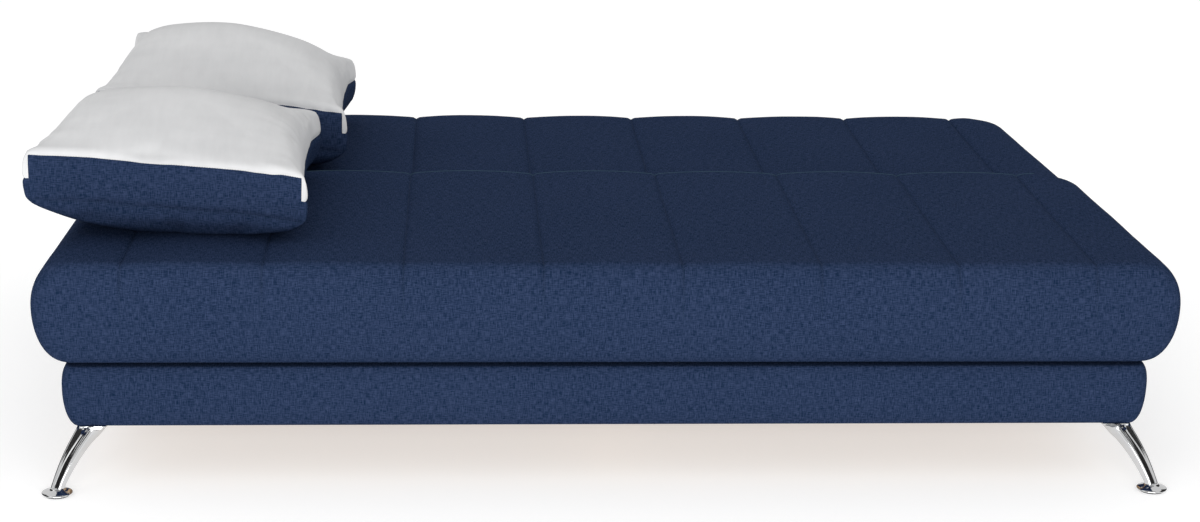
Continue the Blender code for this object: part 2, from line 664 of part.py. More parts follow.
def pivot_bolt(word, side, parts):
    """The shouldered bolt of one hinge, laid along X through its three plates."""
    inner = BACK_ARM_X - GAP
    outer = BRACKET_X + HINGE_PLATE + GAP
    span = outer - inner
    nut = 0.9 * BOLT_HEAD
    profile = [
        (0.0, BOLT_HEAD), (BOLT_HEAD_RADIUS - 0.001, BOLT_HEAD), (BOLT_HEAD_RADIUS, BOLT_HEAD - 0.001),
        (BOLT_HEAD_RADIUS, 0.0), (BOLT_RADIUS, 0.0), (BOLT_RADIUS, -span - nut + 0.001),
        (BOLT_RADIUS - 0.001, -span - nut), (0.0, -span - nut),
    ]
    bolt = turned(f"hinge_bolt_{word}", profile, 20, "zinc_steel", parts)
    bolt.rotation_euler = (0.0, -side * math.pi / 2, 0.0)
    bolt.location = (side * inner, HINGE_Y, HINGE_Z)


def hinges(parts):
    """Bracket, seat arm, back arm, pawl and pivot bolt at each end of the hinge line."""
    hole = [bolt_hole()]
    plates = (
        ("hinge_bracket", bracket_outline(), hole, BRACKET_X),
        ("seat_arm", seat_arm_outline(), hole, SEAT_ARM_X),
        ("back_arm", back_arm_outline(), hole, BACK_ARM_X),
        ("ratchet_pawl", pawl_outline(), [], BACK_ARM_X),
    )
    for word, side in SIDES:
        for name, outline, holes, x in plates:
            flat_plate(f"{name}_{word}", outline, holes, x, HINGE_PLATE, side, "zinc_steel", parts)
        pivot_bolt(word, side, parts)


def bumpers(parts):
    """Rubber buttons on the end boards, under the seat and the back."""
    bottom = BOX_TOP_Z - BOARD_BELOW_PAD + GAP
    height = PANEL_BOTTOM_Z - GAP - bottom
    x = BOX_PANEL_X - BOARD / 2
    places = (("front", BOX_FRONT_Y + BUMPER_FROM_FRONT), ("rear", BOX_REAR_Y - BUMPER_FROM_REAR))
    profile = [
        (0.0, height), (BUMPER_RADIUS - BUMPER_EASE, height), (BUMPER_RADIUS, height - BUMPER_EASE),
        (BUMPER_RADIUS, 0.0), (0.0, 0.0),
    ]
    for word, side in SIDES:
        for place, y in places:
            button = turned(f"bumper_{place}_{word}", profile, 16, "black_rubber", parts)
            button.location = (side * x, y, bottom)


def pillow(name, centre_x, front_y, bed_z, belly, parts):
    """A box pillow: a sagging underside, a straight gusset and a crowned top, rolled to one side."""
    bed = bed_z + PILLOW_LIFT
    low_x, high_x = centre_x - PILLOW_WIDTH / 2, centre_x + PILLOW_WIDTH / 2
    rear_y = front_y + PILLOW_DEPTH
    gusset_low = bed + belly
    gusset_high = gusset_low + PILLOW_GUSSET
    middle = (gusset_low + gusset_high) / 2
    levels = [(bed + share * belly, inset, roll) for share, inset, roll in UNDERSIDE_RINGS]
    levels += [(gusset_low, GUSSET_INSET, 1.0), (middle, 0.0, 1.0), (gusset_high, GUSSET_INSET, 1.0)]
    levels += [(gusset_high + share * PILLOW_CROWN, inset, roll) for share, inset, roll in CROWN_RINGS]
    rings = []
    for z, inset, roll in levels:
        outline = rounded_rectangle(
            low_x + inset, high_x - inset, front_y + inset, rear_y - inset, PILLOW_CORNER, 4
        )
        tilt = -PILLOW_ROLL * roll / PILLOW_WIDTH
        rings.append([(x, y, z + tilt * (x - centre_x)) for x, y in outline])
    loft(name, rings, "pillow_fabric", parts)


def build():
    """Build every piece of the sofa bed."""
    clear_scene()
    parts = new_collection("sofa_bed")
    cutters = new_collection("cutters")
    bedding_box(parts)
    box_pads(parts)
    legs(parts)
    hinges(parts)
    bumpers(parts)
    for name, towards, depth, top_z, arm_x in (
        ("seat", -1, SEAT_DEPTH, SEAT_TOP_Z, SEAT_ARM_X),
        ("back", 1, BACK_DEPTH, BACK_TOP_Z, BACK_ARM_X),
    ):
        padding = panel_padding(f"{name}_padding", towards, depth, top_z, parts)
        hollow_panel(padding, name, towards, depth, top_z, cutters)
        panel_frame(name, towards, depth, arm_x, parts)
    front = (FRONT_PILLOW_X, FRONT_PILLOW_Y, SEAT_TOP_Z, FRONT_PILLOW_BELLY)
    rear = (REAR_PILLOW_X, REAR_PILLOW_Y, BACK_TOP_Z, REAR_PILLOW_BELLY)
    pillow("pillow_front", *front, parts)
    pillow("pillow_rear", *rear, parts)


build()
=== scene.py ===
# %% [markdown]
# # A click-clack sofa bed, opened flat
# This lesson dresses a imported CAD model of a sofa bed. Two padded panels, the seat and the back,
# lie level on a hinge line over a bedding box that stands on four chrome horns. Two box pillows lie
# at the left end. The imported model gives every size. The cells below add cloth, seams, thread,
# timber and metal, one kind of piece at a time.

import math

import bmesh
import bpy
import numpy as np
from mathutils import Matrix, Vector, noise


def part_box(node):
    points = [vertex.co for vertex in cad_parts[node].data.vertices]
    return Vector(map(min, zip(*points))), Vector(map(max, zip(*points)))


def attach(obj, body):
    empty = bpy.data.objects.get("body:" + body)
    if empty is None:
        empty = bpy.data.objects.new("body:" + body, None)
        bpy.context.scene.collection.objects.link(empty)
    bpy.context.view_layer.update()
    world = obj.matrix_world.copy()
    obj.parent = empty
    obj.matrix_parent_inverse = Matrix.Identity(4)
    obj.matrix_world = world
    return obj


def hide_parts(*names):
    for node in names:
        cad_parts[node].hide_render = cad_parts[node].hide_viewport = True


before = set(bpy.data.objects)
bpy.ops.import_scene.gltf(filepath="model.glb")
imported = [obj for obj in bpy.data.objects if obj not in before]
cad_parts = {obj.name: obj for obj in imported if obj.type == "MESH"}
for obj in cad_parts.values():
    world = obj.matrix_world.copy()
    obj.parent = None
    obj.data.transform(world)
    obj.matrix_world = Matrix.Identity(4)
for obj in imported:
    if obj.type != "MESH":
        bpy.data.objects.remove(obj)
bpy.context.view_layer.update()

# %% [markdown]
# ## Sizes from the frame
# Every later cell reads its places from these boxes, so the cloth always fits the timber and steel
# that it covers. The two hinge bolts give the line that the seat and the back turn about.

# %% Sizes from the frame
SIDES = (("left", -1), ("right", 1))
HALF_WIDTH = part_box("seat_padding")[1].x
bolt_low, bolt_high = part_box("hinge_bolt_right")
HINGE_Y = (bolt_low.y + bolt_high.y) / 2
HINGE_Z = (bolt_low.z + bolt_high.z) / 2
SEAM_PITCH = 0.2413       # from one quilting seam to the next
SEAMS_EACH_SIDE = 4       # of the middle of the bed
SEAM_X = [(k + 0.5) * SEAM_PITCH for k in range(-SEAMS_EACH_SIDE, SEAMS_EACH_SIDE)]
print(f"hinge line at y {HINGE_Y:.3f}, z {HINGE_Z:.3f}; {len(SEAM_X)} seams per panel")

# %% [markdown]
# ## Camera
# The sofa bed is seen from eye height, from in front of its left half, through a long lens, so that
# its level lines hardly converge. The turn of the camera is written as yaw, pitch and roll, which
# are easier to read than a matrix.

# %% Camera
CAMERA_AT = Vector((-0.268, -4.7915, 1.581))
YAW, PITCH, ROLL = 0.059, 0.276, 0.017    # radians
SENSOR_MM, LENS_MM = 36.0, 74.88
SEE_AS_FAR_AS = 60.0


def add_camera():
    """Make the camera from its place and its three turns."""
    level = math.cos(PITCH)
    right = Vector((math.cos(YAW), -math.sin(YAW), 0.0))
    ahead = Vector((math.sin(YAW) * level, math.cos(YAW) * level, -math.sin(PITCH)))
    up = right.cross(ahead)
    across = right * math.cos(ROLL) + up * math.sin(ROLL)
    above = up * math.cos(ROLL) - right * math.sin(ROLL)
    camera = bpy.data.objects.new("camera", bpy.data.cameras.new("camera"))
    bpy.context.scene.collection.objects.link(camera)
    turn = Matrix((across, above, -ahead)).transposed().to_4x4()
    camera.matrix_world = Matrix.Translation(CAMERA_AT) @ turn
    camera.data.sensor_width = SENSOR_MM
    camera.data.lens = LENS_MM
    camera.data.clip_end = SEE_AS_FAR_AS
    bpy.context.scene.camera = camera
    return camera


camera = add_camera()
print("camera at", tuple(round(v, 3) for v in camera.location), "lens", camera.data.lens, "mm")

# %% [markdown]
# ## Shader toolkit
# A wire wraps an output socket, so that `1 - wire * 0.5` reads as sums do and adds its Math nodes
# by itself. Every other node comes from one function, which takes the node's type, its settings
# and what its sockets hold. The same function serves geometry nodes later.


# %% Shader toolkit
def connect(tree, value, socket):
    """Link a wire to a socket, or write a plain value in it."""
    if isinstance(value, Wire):
        tree.links.new(value.socket, socket)
    elif socket.type == "RGBA" and len(value) == 3:
        socket.default_value = (*value, 1.0)
    else:
        socket.default_value = value


class Wire:
    """An output socket that sums can be written on."""

    def __init__(self, tree, socket):
        self.tree = tree
        self.socket = socket

    def maths(self, operation, first, second):
        """A Math node on two wires or numbers."""
        node = self.tree.nodes.new("ShaderNodeMath")
        node.operation = operation
        connect(self.tree, first, node.inputs[0])
        connect(self.tree, second, node.inputs[1])
        return Wire(self.tree, node.outputs[0])

    def __add__(self, other):
        return self.maths("ADD", self, other)

    def __sub__(self, other):
        return self.maths("SUBTRACT", self, other)

    def __rsub__(self, other):
        return self.maths("SUBTRACT", other, self)

    def __mul__(self, other):
        return self.maths("MULTIPLY", self, other)

    __radd__ = __add__
    __rmul__ = __mul__

    def sine(self):
        """The sine of this wire, from -1 to 1."""
        return self.maths("SINE", self, 0.0)


def add_node(tree, kind, settings=(), sockets=(), output=0):
    """Add a node: its settings first, then its sockets. Gives its output as a wire."""
    node = tree.nodes.new(kind)
    for name, value in dict(settings).items():
        if name == "stops":
            ramp = node.color_ramp
            while len(ramp.elements) < len(value):
                ramp.elements.new(1.0)
            for element, (position, shade) in zip(ramp.elements, value):
                element.position = position
                element.color = (*shade, 1.0)
        else:
            setattr(node, name, value)
    for name, value in dict(sockets).items():
        connect(tree, value, node.inputs[name])
    return Wire(tree, node.outputs[output])


class Finish:
    """A material, with the few nodes that most finishes here share."""

    def __init__(self, name, **constants):
        self.material = bpy.data.materials.new(name)
        self.material.use_nodes = True
        self.tree = self.material.node_tree
        self.shader = self.tree.nodes["Principled BSDF"]
        self.set(constants)

    def set(self, values):
        """Link or write sockets of the shader, by name."""
        for name, value in values.items():
            connect(self.tree, value, self.shader.inputs[name.replace("_", " ")])

    def node(self, kind, settings=(), sockets=(), output=0):
        return add_node(self.tree, kind, settings, sockets, output)

    def place(self):
        """Object coordinates, in metres."""
        return self.node("ShaderNodeTexCoord", output=3)

    def cloth_map(self):
        """The across and along coordinates of the cloth, in metres."""
        return self.split(self.node("ShaderNodeUVMap", {"uv_map": "weave"}))

    def split(self, vector):
        """The first two numbers of a vector, as wires."""
        first = self.node("ShaderNodeSeparateXYZ", (), {0: vector})
        return first, Wire(self.tree, first.socket.node.outputs[1])

    def stretch(self, vector, scale):
        """A vector scaled by a different number each way."""
        settings, sockets = {"operation": "MULTIPLY"}, {0: vector, 1: scale}
        return self.node("ShaderNodeVectorMath", settings, sockets)

    def pair(self, x, y):
        """Two numbers as a vector."""
        return self.node("ShaderNodeCombineXYZ", (), {0: x, 1: y, 2: 0.0})

    def noise(self, vector, scale=1.0, detail=2.0, roughness=0.5):
        sockets = {"Vector": vector, "Scale": scale, "Detail": detail, "Roughness": roughness}
        return self.node("ShaderNodeTexNoise", (), sockets)

    def ramp(self, factor, stops):
        return self.node("ShaderNodeValToRGB", {"stops": stops}, {0: factor})

    def mix(self, factor, first, second):
        settings, sockets = {"data_type": "RGBA"}, {0: factor, 6: first, 7: second}
        return self.node("ShaderNodeMix", settings, sockets, output=2)

    def bump(self, height, strength, distance):
        sockets = {"Height": height, "Strength": strength, "Distance": distance}
        self.set({"Normal": self.node("ShaderNodeBump", (), sockets)})


print("toolkit ready")

# %% [markdown]
# ## Navy cover cloth
# The cover is a flat woven cloth of slubby yarn: thick and thin places show as short light and dark
# dashes that run both across and along. Noise stretched along each thread direction makes the
# slubs, and two sine waves make the threads that only a close view shows. The pattern follows a UV
# map in metres, so the threads keep their size on every panel.


# %% Navy cover cloth
THREADS_PER_METRE = 900.0
WEFT_SLUBS = (84.0, 700.0)    # per metre, across and along: long across, thin along
WARP_SLUBS = (740.0, 68.0)
PATCHES = 3.5                 # per metre
WEFT_CONTRAST, WARP_CONTRAST, THREAD_CONTRAST, PATCH_CONTRAST = 2.85, 2.7, 0.10, 0.22
NAVY_DARK, NAVY_LIGHT = (0.0065, 0.0165, 0.0420), (0.0300, 0.0460, 0.0980)


def woven_cloth(name, dark, light, relief):
    """A slubby plain weave between two shades. A low IOR keeps it matt, as yarn is."""
    cloth = Finish(name, Metallic=0.0, IOR=1.04)
    across, along = cloth.cloth_map()

    def slubs(rates):
        return cloth.noise(cloth.pair(across * rates[0], along * rates[1]), 1.0, 2.0, 0.6)

    weft, warp = slubs(WEFT_SLUBS), slubs(WARP_SLUBS)
    rate = THREADS_PER_METRE * math.pi
    threads = (across * rate).sine() * (along * rate).sine()
    patches = cloth.noise(cloth.pair(across, along), PATCHES, 2.0)
    shade = (weft - 0.5) * WEFT_CONTRAST + (warp - 0.5) * WARP_CONTRAST
    shade = shade + threads * THREAD_CONTRAST + (patches - 0.5) * PATCH_CONTRAST
    cloth.set({"Base Color": cloth.mix(shade + 0.5, dark, light)})
    cloth.set({"Roughness": 0.96 - weft * 0.14})
    cloth.bump(threads * 0.35 + weft * 0.8 + warp * 0.9, relief, 0.0007)
    return cloth.material


navy_cloth = woven_cloth("navy_weave", NAVY_DARK, NAVY_LIGHT, 0.55)
print("made", navy_cloth.name, "with", len(navy_cloth.node_tree.nodes), "nodes")

# %% [markdown]
# ## Pale velour
# The pillows' tops are a short-pile velour. Its pile lies in soft patches that turn the light a
# little differently, so the shade and the roughness drift slowly, under a very fine nap.

# %% Pale velour
PALE_DARK, PALE_LIGHT = (0.545, 0.548, 0.556), (0.650, 0.652, 0.658)


def velour():
    """Short pale pile with brushed patches."""
    pile = Finish("pale_velour", Metallic=0.0, Sheen_Weight=0.05, Sheen_Roughness=0.5)
    pile.set({"Specular IOR Level": 0.2})
    place = pile.place()
    brushed = pile.noise(pile.stretch(place, (5.0, 8.0, 8.0)), 1.0, 3.0, 0.55)
    streaks = pile.noise(pile.stretch(place, (60.0, 11.0, 20.0)), 1.0, 3.0, 0.6)
    nap = pile.noise(place, 1300.0, 2.0)
    shade = (brushed - 0.5) * 1.6 + (streaks - 0.5) * 0.7 + (nap - 0.5) * 0.3 + 0.5
    pile.set({"Base Color": pile.mix(shade, PALE_DARK, PALE_LIGHT)})
    pile.set({"Roughness": 0.94 - brushed * 0.16})
    pile.bump(nap * 0.5 + streaks * 1.2 + brushed * 2.0, 0.35, 0.0010)
    return pile.material


pale_velour = velour()
print("made", pale_velour.name)

# %% [markdown]
# ## Timber, board and lining
# Under the cloth are sawn softwood rails, a hardboard floor in the bedding box and black non-woven
# lining. Wood is a stretched noise bent by a slower one. Its grain runs along the longest side, so
# rails that lie along X and along Y each have their own direction.


# %% Timber, board and lining
PALE_GRAIN, MID_GRAIN, DARK_GRAIN = (0.69, 0.50, 0.31), (0.56, 0.37, 0.20), (0.36, 0.21, 0.10)
BOARD_DARK, BOARD_LIGHT = (0.20, 0.12, 0.065), (0.38, 0.25, 0.145)
LINING_DARK, LINING_LIGHT = (0.010, 0.010, 0.012), (0.045, 0.045, 0.050)
LONG_GRAIN, FINE_GRAIN = 3.0, 90.0      # per metre, along a rail and across it
DOT_RATE = 1570.0                       # radians per metre: a pressed dot every 4 mm


def timber(name, along):
    """Softwood with its grain along one axis."""
    wood = Finish(name, Metallic=0.0)
    place = wood.place()
    grain = tuple(LONG_GRAIN if axis == along else FINE_GRAIN for axis in range(3))
    bend = wood.noise(place, 4.0, 2.0)
    rings = wood.noise(wood.stretch(place, grain), 1.0, 4.0, 0.6)
    shade = (rings - 0.5) * 1.7 + (bend - 0.5) * 0.8 + 0.5
    stops = ((0.15, DARK_GRAIN), (0.5, MID_GRAIN), (0.9, PALE_GRAIN))
    wood.set({"Base Color": wood.ramp(shade, stops), "Roughness": 0.50 + rings * 0.35})
    wood.bump(rings, 0.35, 0.0006)
    return wood.material


def hardboard():
    """Pressed brown fibres."""
    board = Finish("hardboard", Metallic=0.0)
    place = board.place()
    fibres = board.noise(place, 260.0, 4.0, 0.7)
    clouds = board.noise(place, 6.0, 2.0)
    shade = (fibres - 0.5) * 1.2 + (clouds - 0.5) * 0.8 + 0.5
    board.set({"Base Color": board.mix(shade, BOARD_DARK, BOARD_LIGHT)})
    board.set({"Roughness": 0.55 + clouds * 0.3})
    board.bump(fibres, 0.3, 0.0005)
    return board.material


def lining():
    """Black non-woven cloth with its rows of pressed dots."""
    cloth = Finish("black_lining", Metallic=0.0, Sheen_Weight=0.2)
    place = cloth.place()
    across, along = cloth.split(place)
    dots = (across * DOT_RATE).sine() * (along * DOT_RATE).sine()
    fibres = cloth.noise(place, 500.0, 3.0, 0.7)
    cloth.set({"Base Color": cloth.mix(fibres + dots * 0.2, LINING_DARK, LINING_LIGHT)})
    cloth.set({"Roughness": 0.80 + fibres * 0.2})
    cloth.bump(dots * 0.6 + fibres, 0.4, 0.0004)
    return cloth.material


timber_x, timber_y = timber("timber_across", 0), timber("timber_along", 1)
hardboard_brown = hardboard()
black_lining = lining()
print("made", timber_x.name, timber_y.name, hardboard_brown.name, black_lining.name)

# %% [markdown]
# ## Metal, plastic and rubber
# The horns and their feet are polished chrome, bright with the faintest haze. Hinge parts are
# zinc-plated steel, which is greyer, blotchy and finely scratched. The glides are moulded plastic
# and the bumpers soft rubber. The sewing threads, a twisted yarn in three shades, end the cell.


# %% Metal, plastic and rubber
CHROME_DARK, CHROME_LIGHT = (0.60, 0.61, 0.62), (0.74, 0.74, 0.74)
ZINC_DARK, ZINC_LIGHT = (0.40, 0.41, 0.43), (0.60, 0.61, 0.62)


def chrome():
    """Polished plating, a little hazy in places."""
    metal = Finish("polished_chrome", Metallic=1.0)
    place = metal.place()
    haze = metal.noise(place, 22.0, 3.0)
    fine = metal.noise(metal.stretch(place, (700.0, 700.0, 60.0)), 1.0, 2.0)
    metal.set({"Base Color": metal.mix(haze, CHROME_DARK, CHROME_LIGHT)})
    metal.set({"Roughness": 0.030 + haze * 0.06})
    metal.bump(fine, 0.03, 0.0002)
    return metal.material


def zinc():
    """Zinc plating over pressed steel, with spangle and scratches."""
    metal = Finish("zinc_plate", Metallic=1.0)
    place = metal.place()
    spangle = metal.noise(place, 75.0, 3.0)
    scratches = metal.noise(metal.stretch(place, (60.0, 900.0, 60.0)), 1.0, 3.0)
    metal.set({"Base Color": metal.mix(spangle, ZINC_DARK, ZINC_LIGHT)})
    metal.set({"Roughness": 0.24 + spangle * 0.2 + scratches * 0.12})
    metal.bump(scratches, 0.2, 0.0003)
    return metal.material


def moulded(name, dark, light, roughness, grain):
    """A moulded black material with a fine grain."""
    plastic = Finish(name, Metallic=0.0)
    specks = plastic.noise(plastic.place(), grain, 3.0)
    plastic.set({"Base Color": plastic.mix(specks, dark, light)})
    plastic.set({"Roughness": roughness + specks * 0.15})
    plastic.bump(specks, 0.35, 0.0004)
    return plastic.material


def yarn(name, dark, light):
    """Sewing thread with its twist."""
    thread = Finish(name, Metallic=0.0, IOR=1.1)
    twist = thread.noise(thread.place(), 1500.0, 2.0)
    thread.set({"Base Color": thread.mix(twist, dark, light), "Roughness": 0.6 + twist * 0.2})
    thread.bump(twist, 0.4, 0.0003)
    return thread.material


polished_chrome = chrome()
zinc_plate = zinc()
black_plastic = moulded("glide_plastic", (0.008, 0.008, 0.009), (0.028, 0.028, 0.030), 0.42, 900.0)
black_rubber = moulded("bumper_rubber", (0.006, 0.006, 0.006), (0.022, 0.021, 0.020), 0.75, 400.0)
navy_thread = yarn("navy_thread", (0.015, 0.030, 0.062), (0.028, 0.050, 0.096))
# The cord's lighter navy is a painted highlight: the bright rim where the seat's rear edge turns
# down.
highlight_cord = yarn("highlight_cord", (0.028, 0.056, 0.084), (0.044, 0.078, 0.112))
pale_thread = yarn("pale_thread", (0.58, 0.58, 0.59), (0.72, 0.72, 0.73))
print("made", [m.name for m in (polished_chrome, zinc_plate, black_plastic, black_rubber)])
print("made", [m.name for m in (navy_thread, highlight_cord, pale_thread)])

# %% [markdown]
# ## Mesh toolkit
# Covers are sheets of a regular grid, so numpy works out all their points at once. The weave's UV
# map is laid last: each face takes the two axes that it faces least, in metres, as if its cloth had
# been cut on the straight of the grain for that side.


# %% Mesh toolkit
def skin(name, points, faces, *materials):
    """A mesh object at the origin, from points and faces."""
    mesh = bpy.data.meshes.new(name)
    mesh.from_pydata([tuple(p) for p in np.asarray(points, float).tolist()], [], list(faces))
    mesh.shade_smooth()
    for material in materials:
        mesh.materials.append(material)
    made = bpy.data.objects.new(name, mesh)
    bpy.context.scene.collection.objects.link(made)
    return made


def points_of(item):
    """The points of a mesh object as an array."""
    flat = np.empty(len(item.data.vertices) * 3, np.float32)
    item.data.vertices.foreach_get("co", flat)
    return flat.reshape(-1, 3).astype(float)


def normals_of(item):
    """The point normals of a mesh object as an array."""
    flat = np.empty(len(item.data.vertices) * 3, np.float32)
    item.data.vertex_normals.foreach_get("vector", flat)
    return flat.reshape(-1, 3).astype(float)


def move_points(item, points):
    """Write new places for the points of a mesh object."""
    item.data.vertices.foreach_set("co", points.astype(np.float32).ravel())
    item.data.update()


def apply_modifiers(item):
    """Turn what the modifiers make into the object's own mesh, and drop them."""
    evaluated = item.evaluated_get(bpy.context.evaluated_depsgraph_get())
    mesh = bpy.data.meshes.new_from_object(evaluated)
    item.modifiers.clear()
    item.data = mesh
    return item


def face_outwards(item, merge=0.0):
    """Merge points closer than a distance, then turn the faces of a closed mesh outwards."""
    bm = bmesh.new()
    bm.from_mesh(item.data)
    if merge:
        bmesh.ops.remove_doubles(bm, verts=bm.verts, dist=merge)
    bmesh.ops.recalc_face_normals(bm, faces=bm.faces)
    bm.to_mesh(item.data)
    bm.free()


def band_faces(rings, count, closed=False):
    """Faces from each ring of points to the next, and from the last to the first if closed."""
    faces = []
    for k in range(rings if closed else rings - 1):
        here, after = k * count, (k + 1) % rings * count
        for i in range(count):
            j = (i + 1) % count
            faces.append((here + i, here + j, after + j, after + i))
    return faces


def crowded(step, steps):
    """An even step from 0 to 1, moved closer to the two ends."""
    return 0.5 - 0.5 * math.cos(math.pi * step / steps)


def lay_weave(item):
    """A UV map in metres, from the two axes that each face faces least."""
    mesh = item.data
    layer = mesh.uv_layers.get("weave") or mesh.uv_layers.new(name="weave")
    count = len(mesh.loops)
    corner = np.empty(count, np.int32)
    mesh.loops.foreach_get("vertex_index", corner)
    facing = np.empty(len(mesh.polygons) * 3, np.float32)
    mesh.polygons.foreach_get("normal", facing)
    axis = np.abs(facing.reshape(-1, 3)).argmax(1)
    totals = np.empty(len(mesh.polygons), np.int32)
    mesh.polygons.foreach_get("loop_total", totals)
    axis = np.repeat(axis, totals)
    place = points_of(item)[corner]
    across = np.where(axis == 0, place[:, 1], place[:, 0])
    along = np.where(axis == 2, place[:, 1], place[:, 2])
    layer.data.foreach_set("uv", np.column_stack((across, along)).astype(np.float32).ravel())


def smooth_step(value, low, high):
    """0 below low, 1 above high, and a soft rise between."""
    share = np.clip((value - low) / (high - low), 0.0, 1.0)
    return share * share * (3.0 - 2.0 * share)


def ripple(points, scale, seed):
    """Slow smooth noise at each point, about -1 to 1, the same on every run."""
    shift = Vector((seed * 7.31, seed * 3.17, seed * 5.77))
    return np.array([noise.noise(Vector(p) * scale + shift) for p in points.tolist()])


print("mesh toolkit ready")

# %% [markdown]
# ## Quilted covers
# Each panel wears one cover: a crowned top in channels, rolled ends and a soft front. The seams
# are sewn down to the foam, so they are narrow valleys that run over the front edge and fade out on
# its face. The cover is built as one closed skin. A grid makes the top, its border drops down the
# sides level by level, and the same grid lines the recess that the timber frame sits in.


# %% Quilted covers
SEAT_TAPER = 0.026        # how far each end draws in towards the joint, at the top
BACK_TAPER = 0.034        # the same towards the back's outer side
END_ROLL = 0.056          # how far a rolled end draws in at its top and bottom
FRONT_ROLL = 0.036        # the same at the outer long side
JOINT_ROLL = 0.050        # the same at the joint end, where the foam is squeezed
END_FULLNESS = 2.15       # 2 rolls in as a circle does, and more is squarer
LOWER_END_FULLNESS = 2.0
LOWER_END_REACH = 0.95    # the roll stops short of its lower edge, which leaves a crisp corner
FRONT_FULLNESS = 2.2
JOINT_FULLNESS = 2.3
WIDEST_SHARE = 0.57       # of the cover's height, where its sides stand out most
SEAT_CORNERS = (0.034, 0.090)     # radii of the plan's corners: at the outer side, at the joint
BACK_CORNERS = (0.085, 0.060)
CHANNEL_COLUMNS = 18      # grid columns from seam to seam
COVER_ROWS = 64
ROW_CROWDING = 0.65       # how much the rows gather at the two long sides
SIDE_LEVELS = 30          # levels from the top's border down to the underside
CHANNEL_POWER = 2.2       # over 1 gives a broad crown with steep sides at its seams


def roll_in(share, depth, fullness):
    """How far a side draws in, at a share from its fullest height (0) to its edge (1)."""
    return depth * (1.0 - (1.0 - min(abs(share), 1.0) ** fullness) ** (1.0 / fullness))


def cover_columns():
    """X of the grid's columns: close together beside each seam, open between."""
    edge = HALF_WIDTH - END_ROLL
    stops = [-edge, *SEAM_X, edge]
    columns = []
    for start, end in zip(stops, stops[1:]):
        for i in range(CHANNEL_COLUMNS):
            columns.append(start + (end - start) * crowded(i, CHANNEL_COLUMNS))
    return np.array([*columns, edge])


def round_plan(x, y, half, low_y, high_y, corners):
    """Turn the square corners of a plan at the given sides into round ones."""
    radius = np.where(y < (low_y + high_y) / 2, *corners)
    inner_x = np.clip(x, -half + radius, half - radius)
    inner_y = np.clip(y, low_y + radius, high_y - radius)
    dx, dy = x - inner_x, y - inner_y
    length = np.hypot(dx, dy)
    reach = np.maximum(np.abs(dx), np.abs(dy))
    factor = np.where(length > 1e-9, reach / np.maximum(length, 1e-9), 1.0)
    return inner_x + dx * factor, inner_y + dy * factor


def quilting(x):
    """Crown between seams, 0 on a seam and 1 mid-channel, and the distance from the seam."""
    away = np.min(np.abs(x[:, None] - np.array(SEAM_X)[None]), axis=1)
    share = np.clip(1.0 - away / (SEAM_PITCH / 2), 0.0, 1.0)
    return 1.0 - share**CHANNEL_POWER, away


def border_of(rows, columns):
    """Grid numbers of the border, once round, anticlockwise from the low corner."""
    last = rows - 1
    ring = list(range(columns))
    ring += [j * columns + columns - 1 for j in range(1, rows)]
    ring += [last * columns + i for i in range(columns - 2, -1, -1)]
    ring += [j * columns for j in range(last - 1, 0, -1)]
    return ring


def grid_faces(rows, columns, offset, up):
    """Four-sided faces of a grid, facing up or down."""
    faces = []
    for j in range(rows - 1):
        for i in range(columns - 1):
            a = offset + j * columns + i
            quad = (a, a + 1, a + columns + 1, a + columns)
            faces.append(quad if up else quad[::-1])
    return faces


def ring_faces(upper, lower):
    """Faces between two rings of the same length, facing outwards."""
    after_upper, after_lower = upper[1:] + upper[:1], lower[1:] + lower[:1]
    return list(zip(upper, lower, after_lower, after_upper))


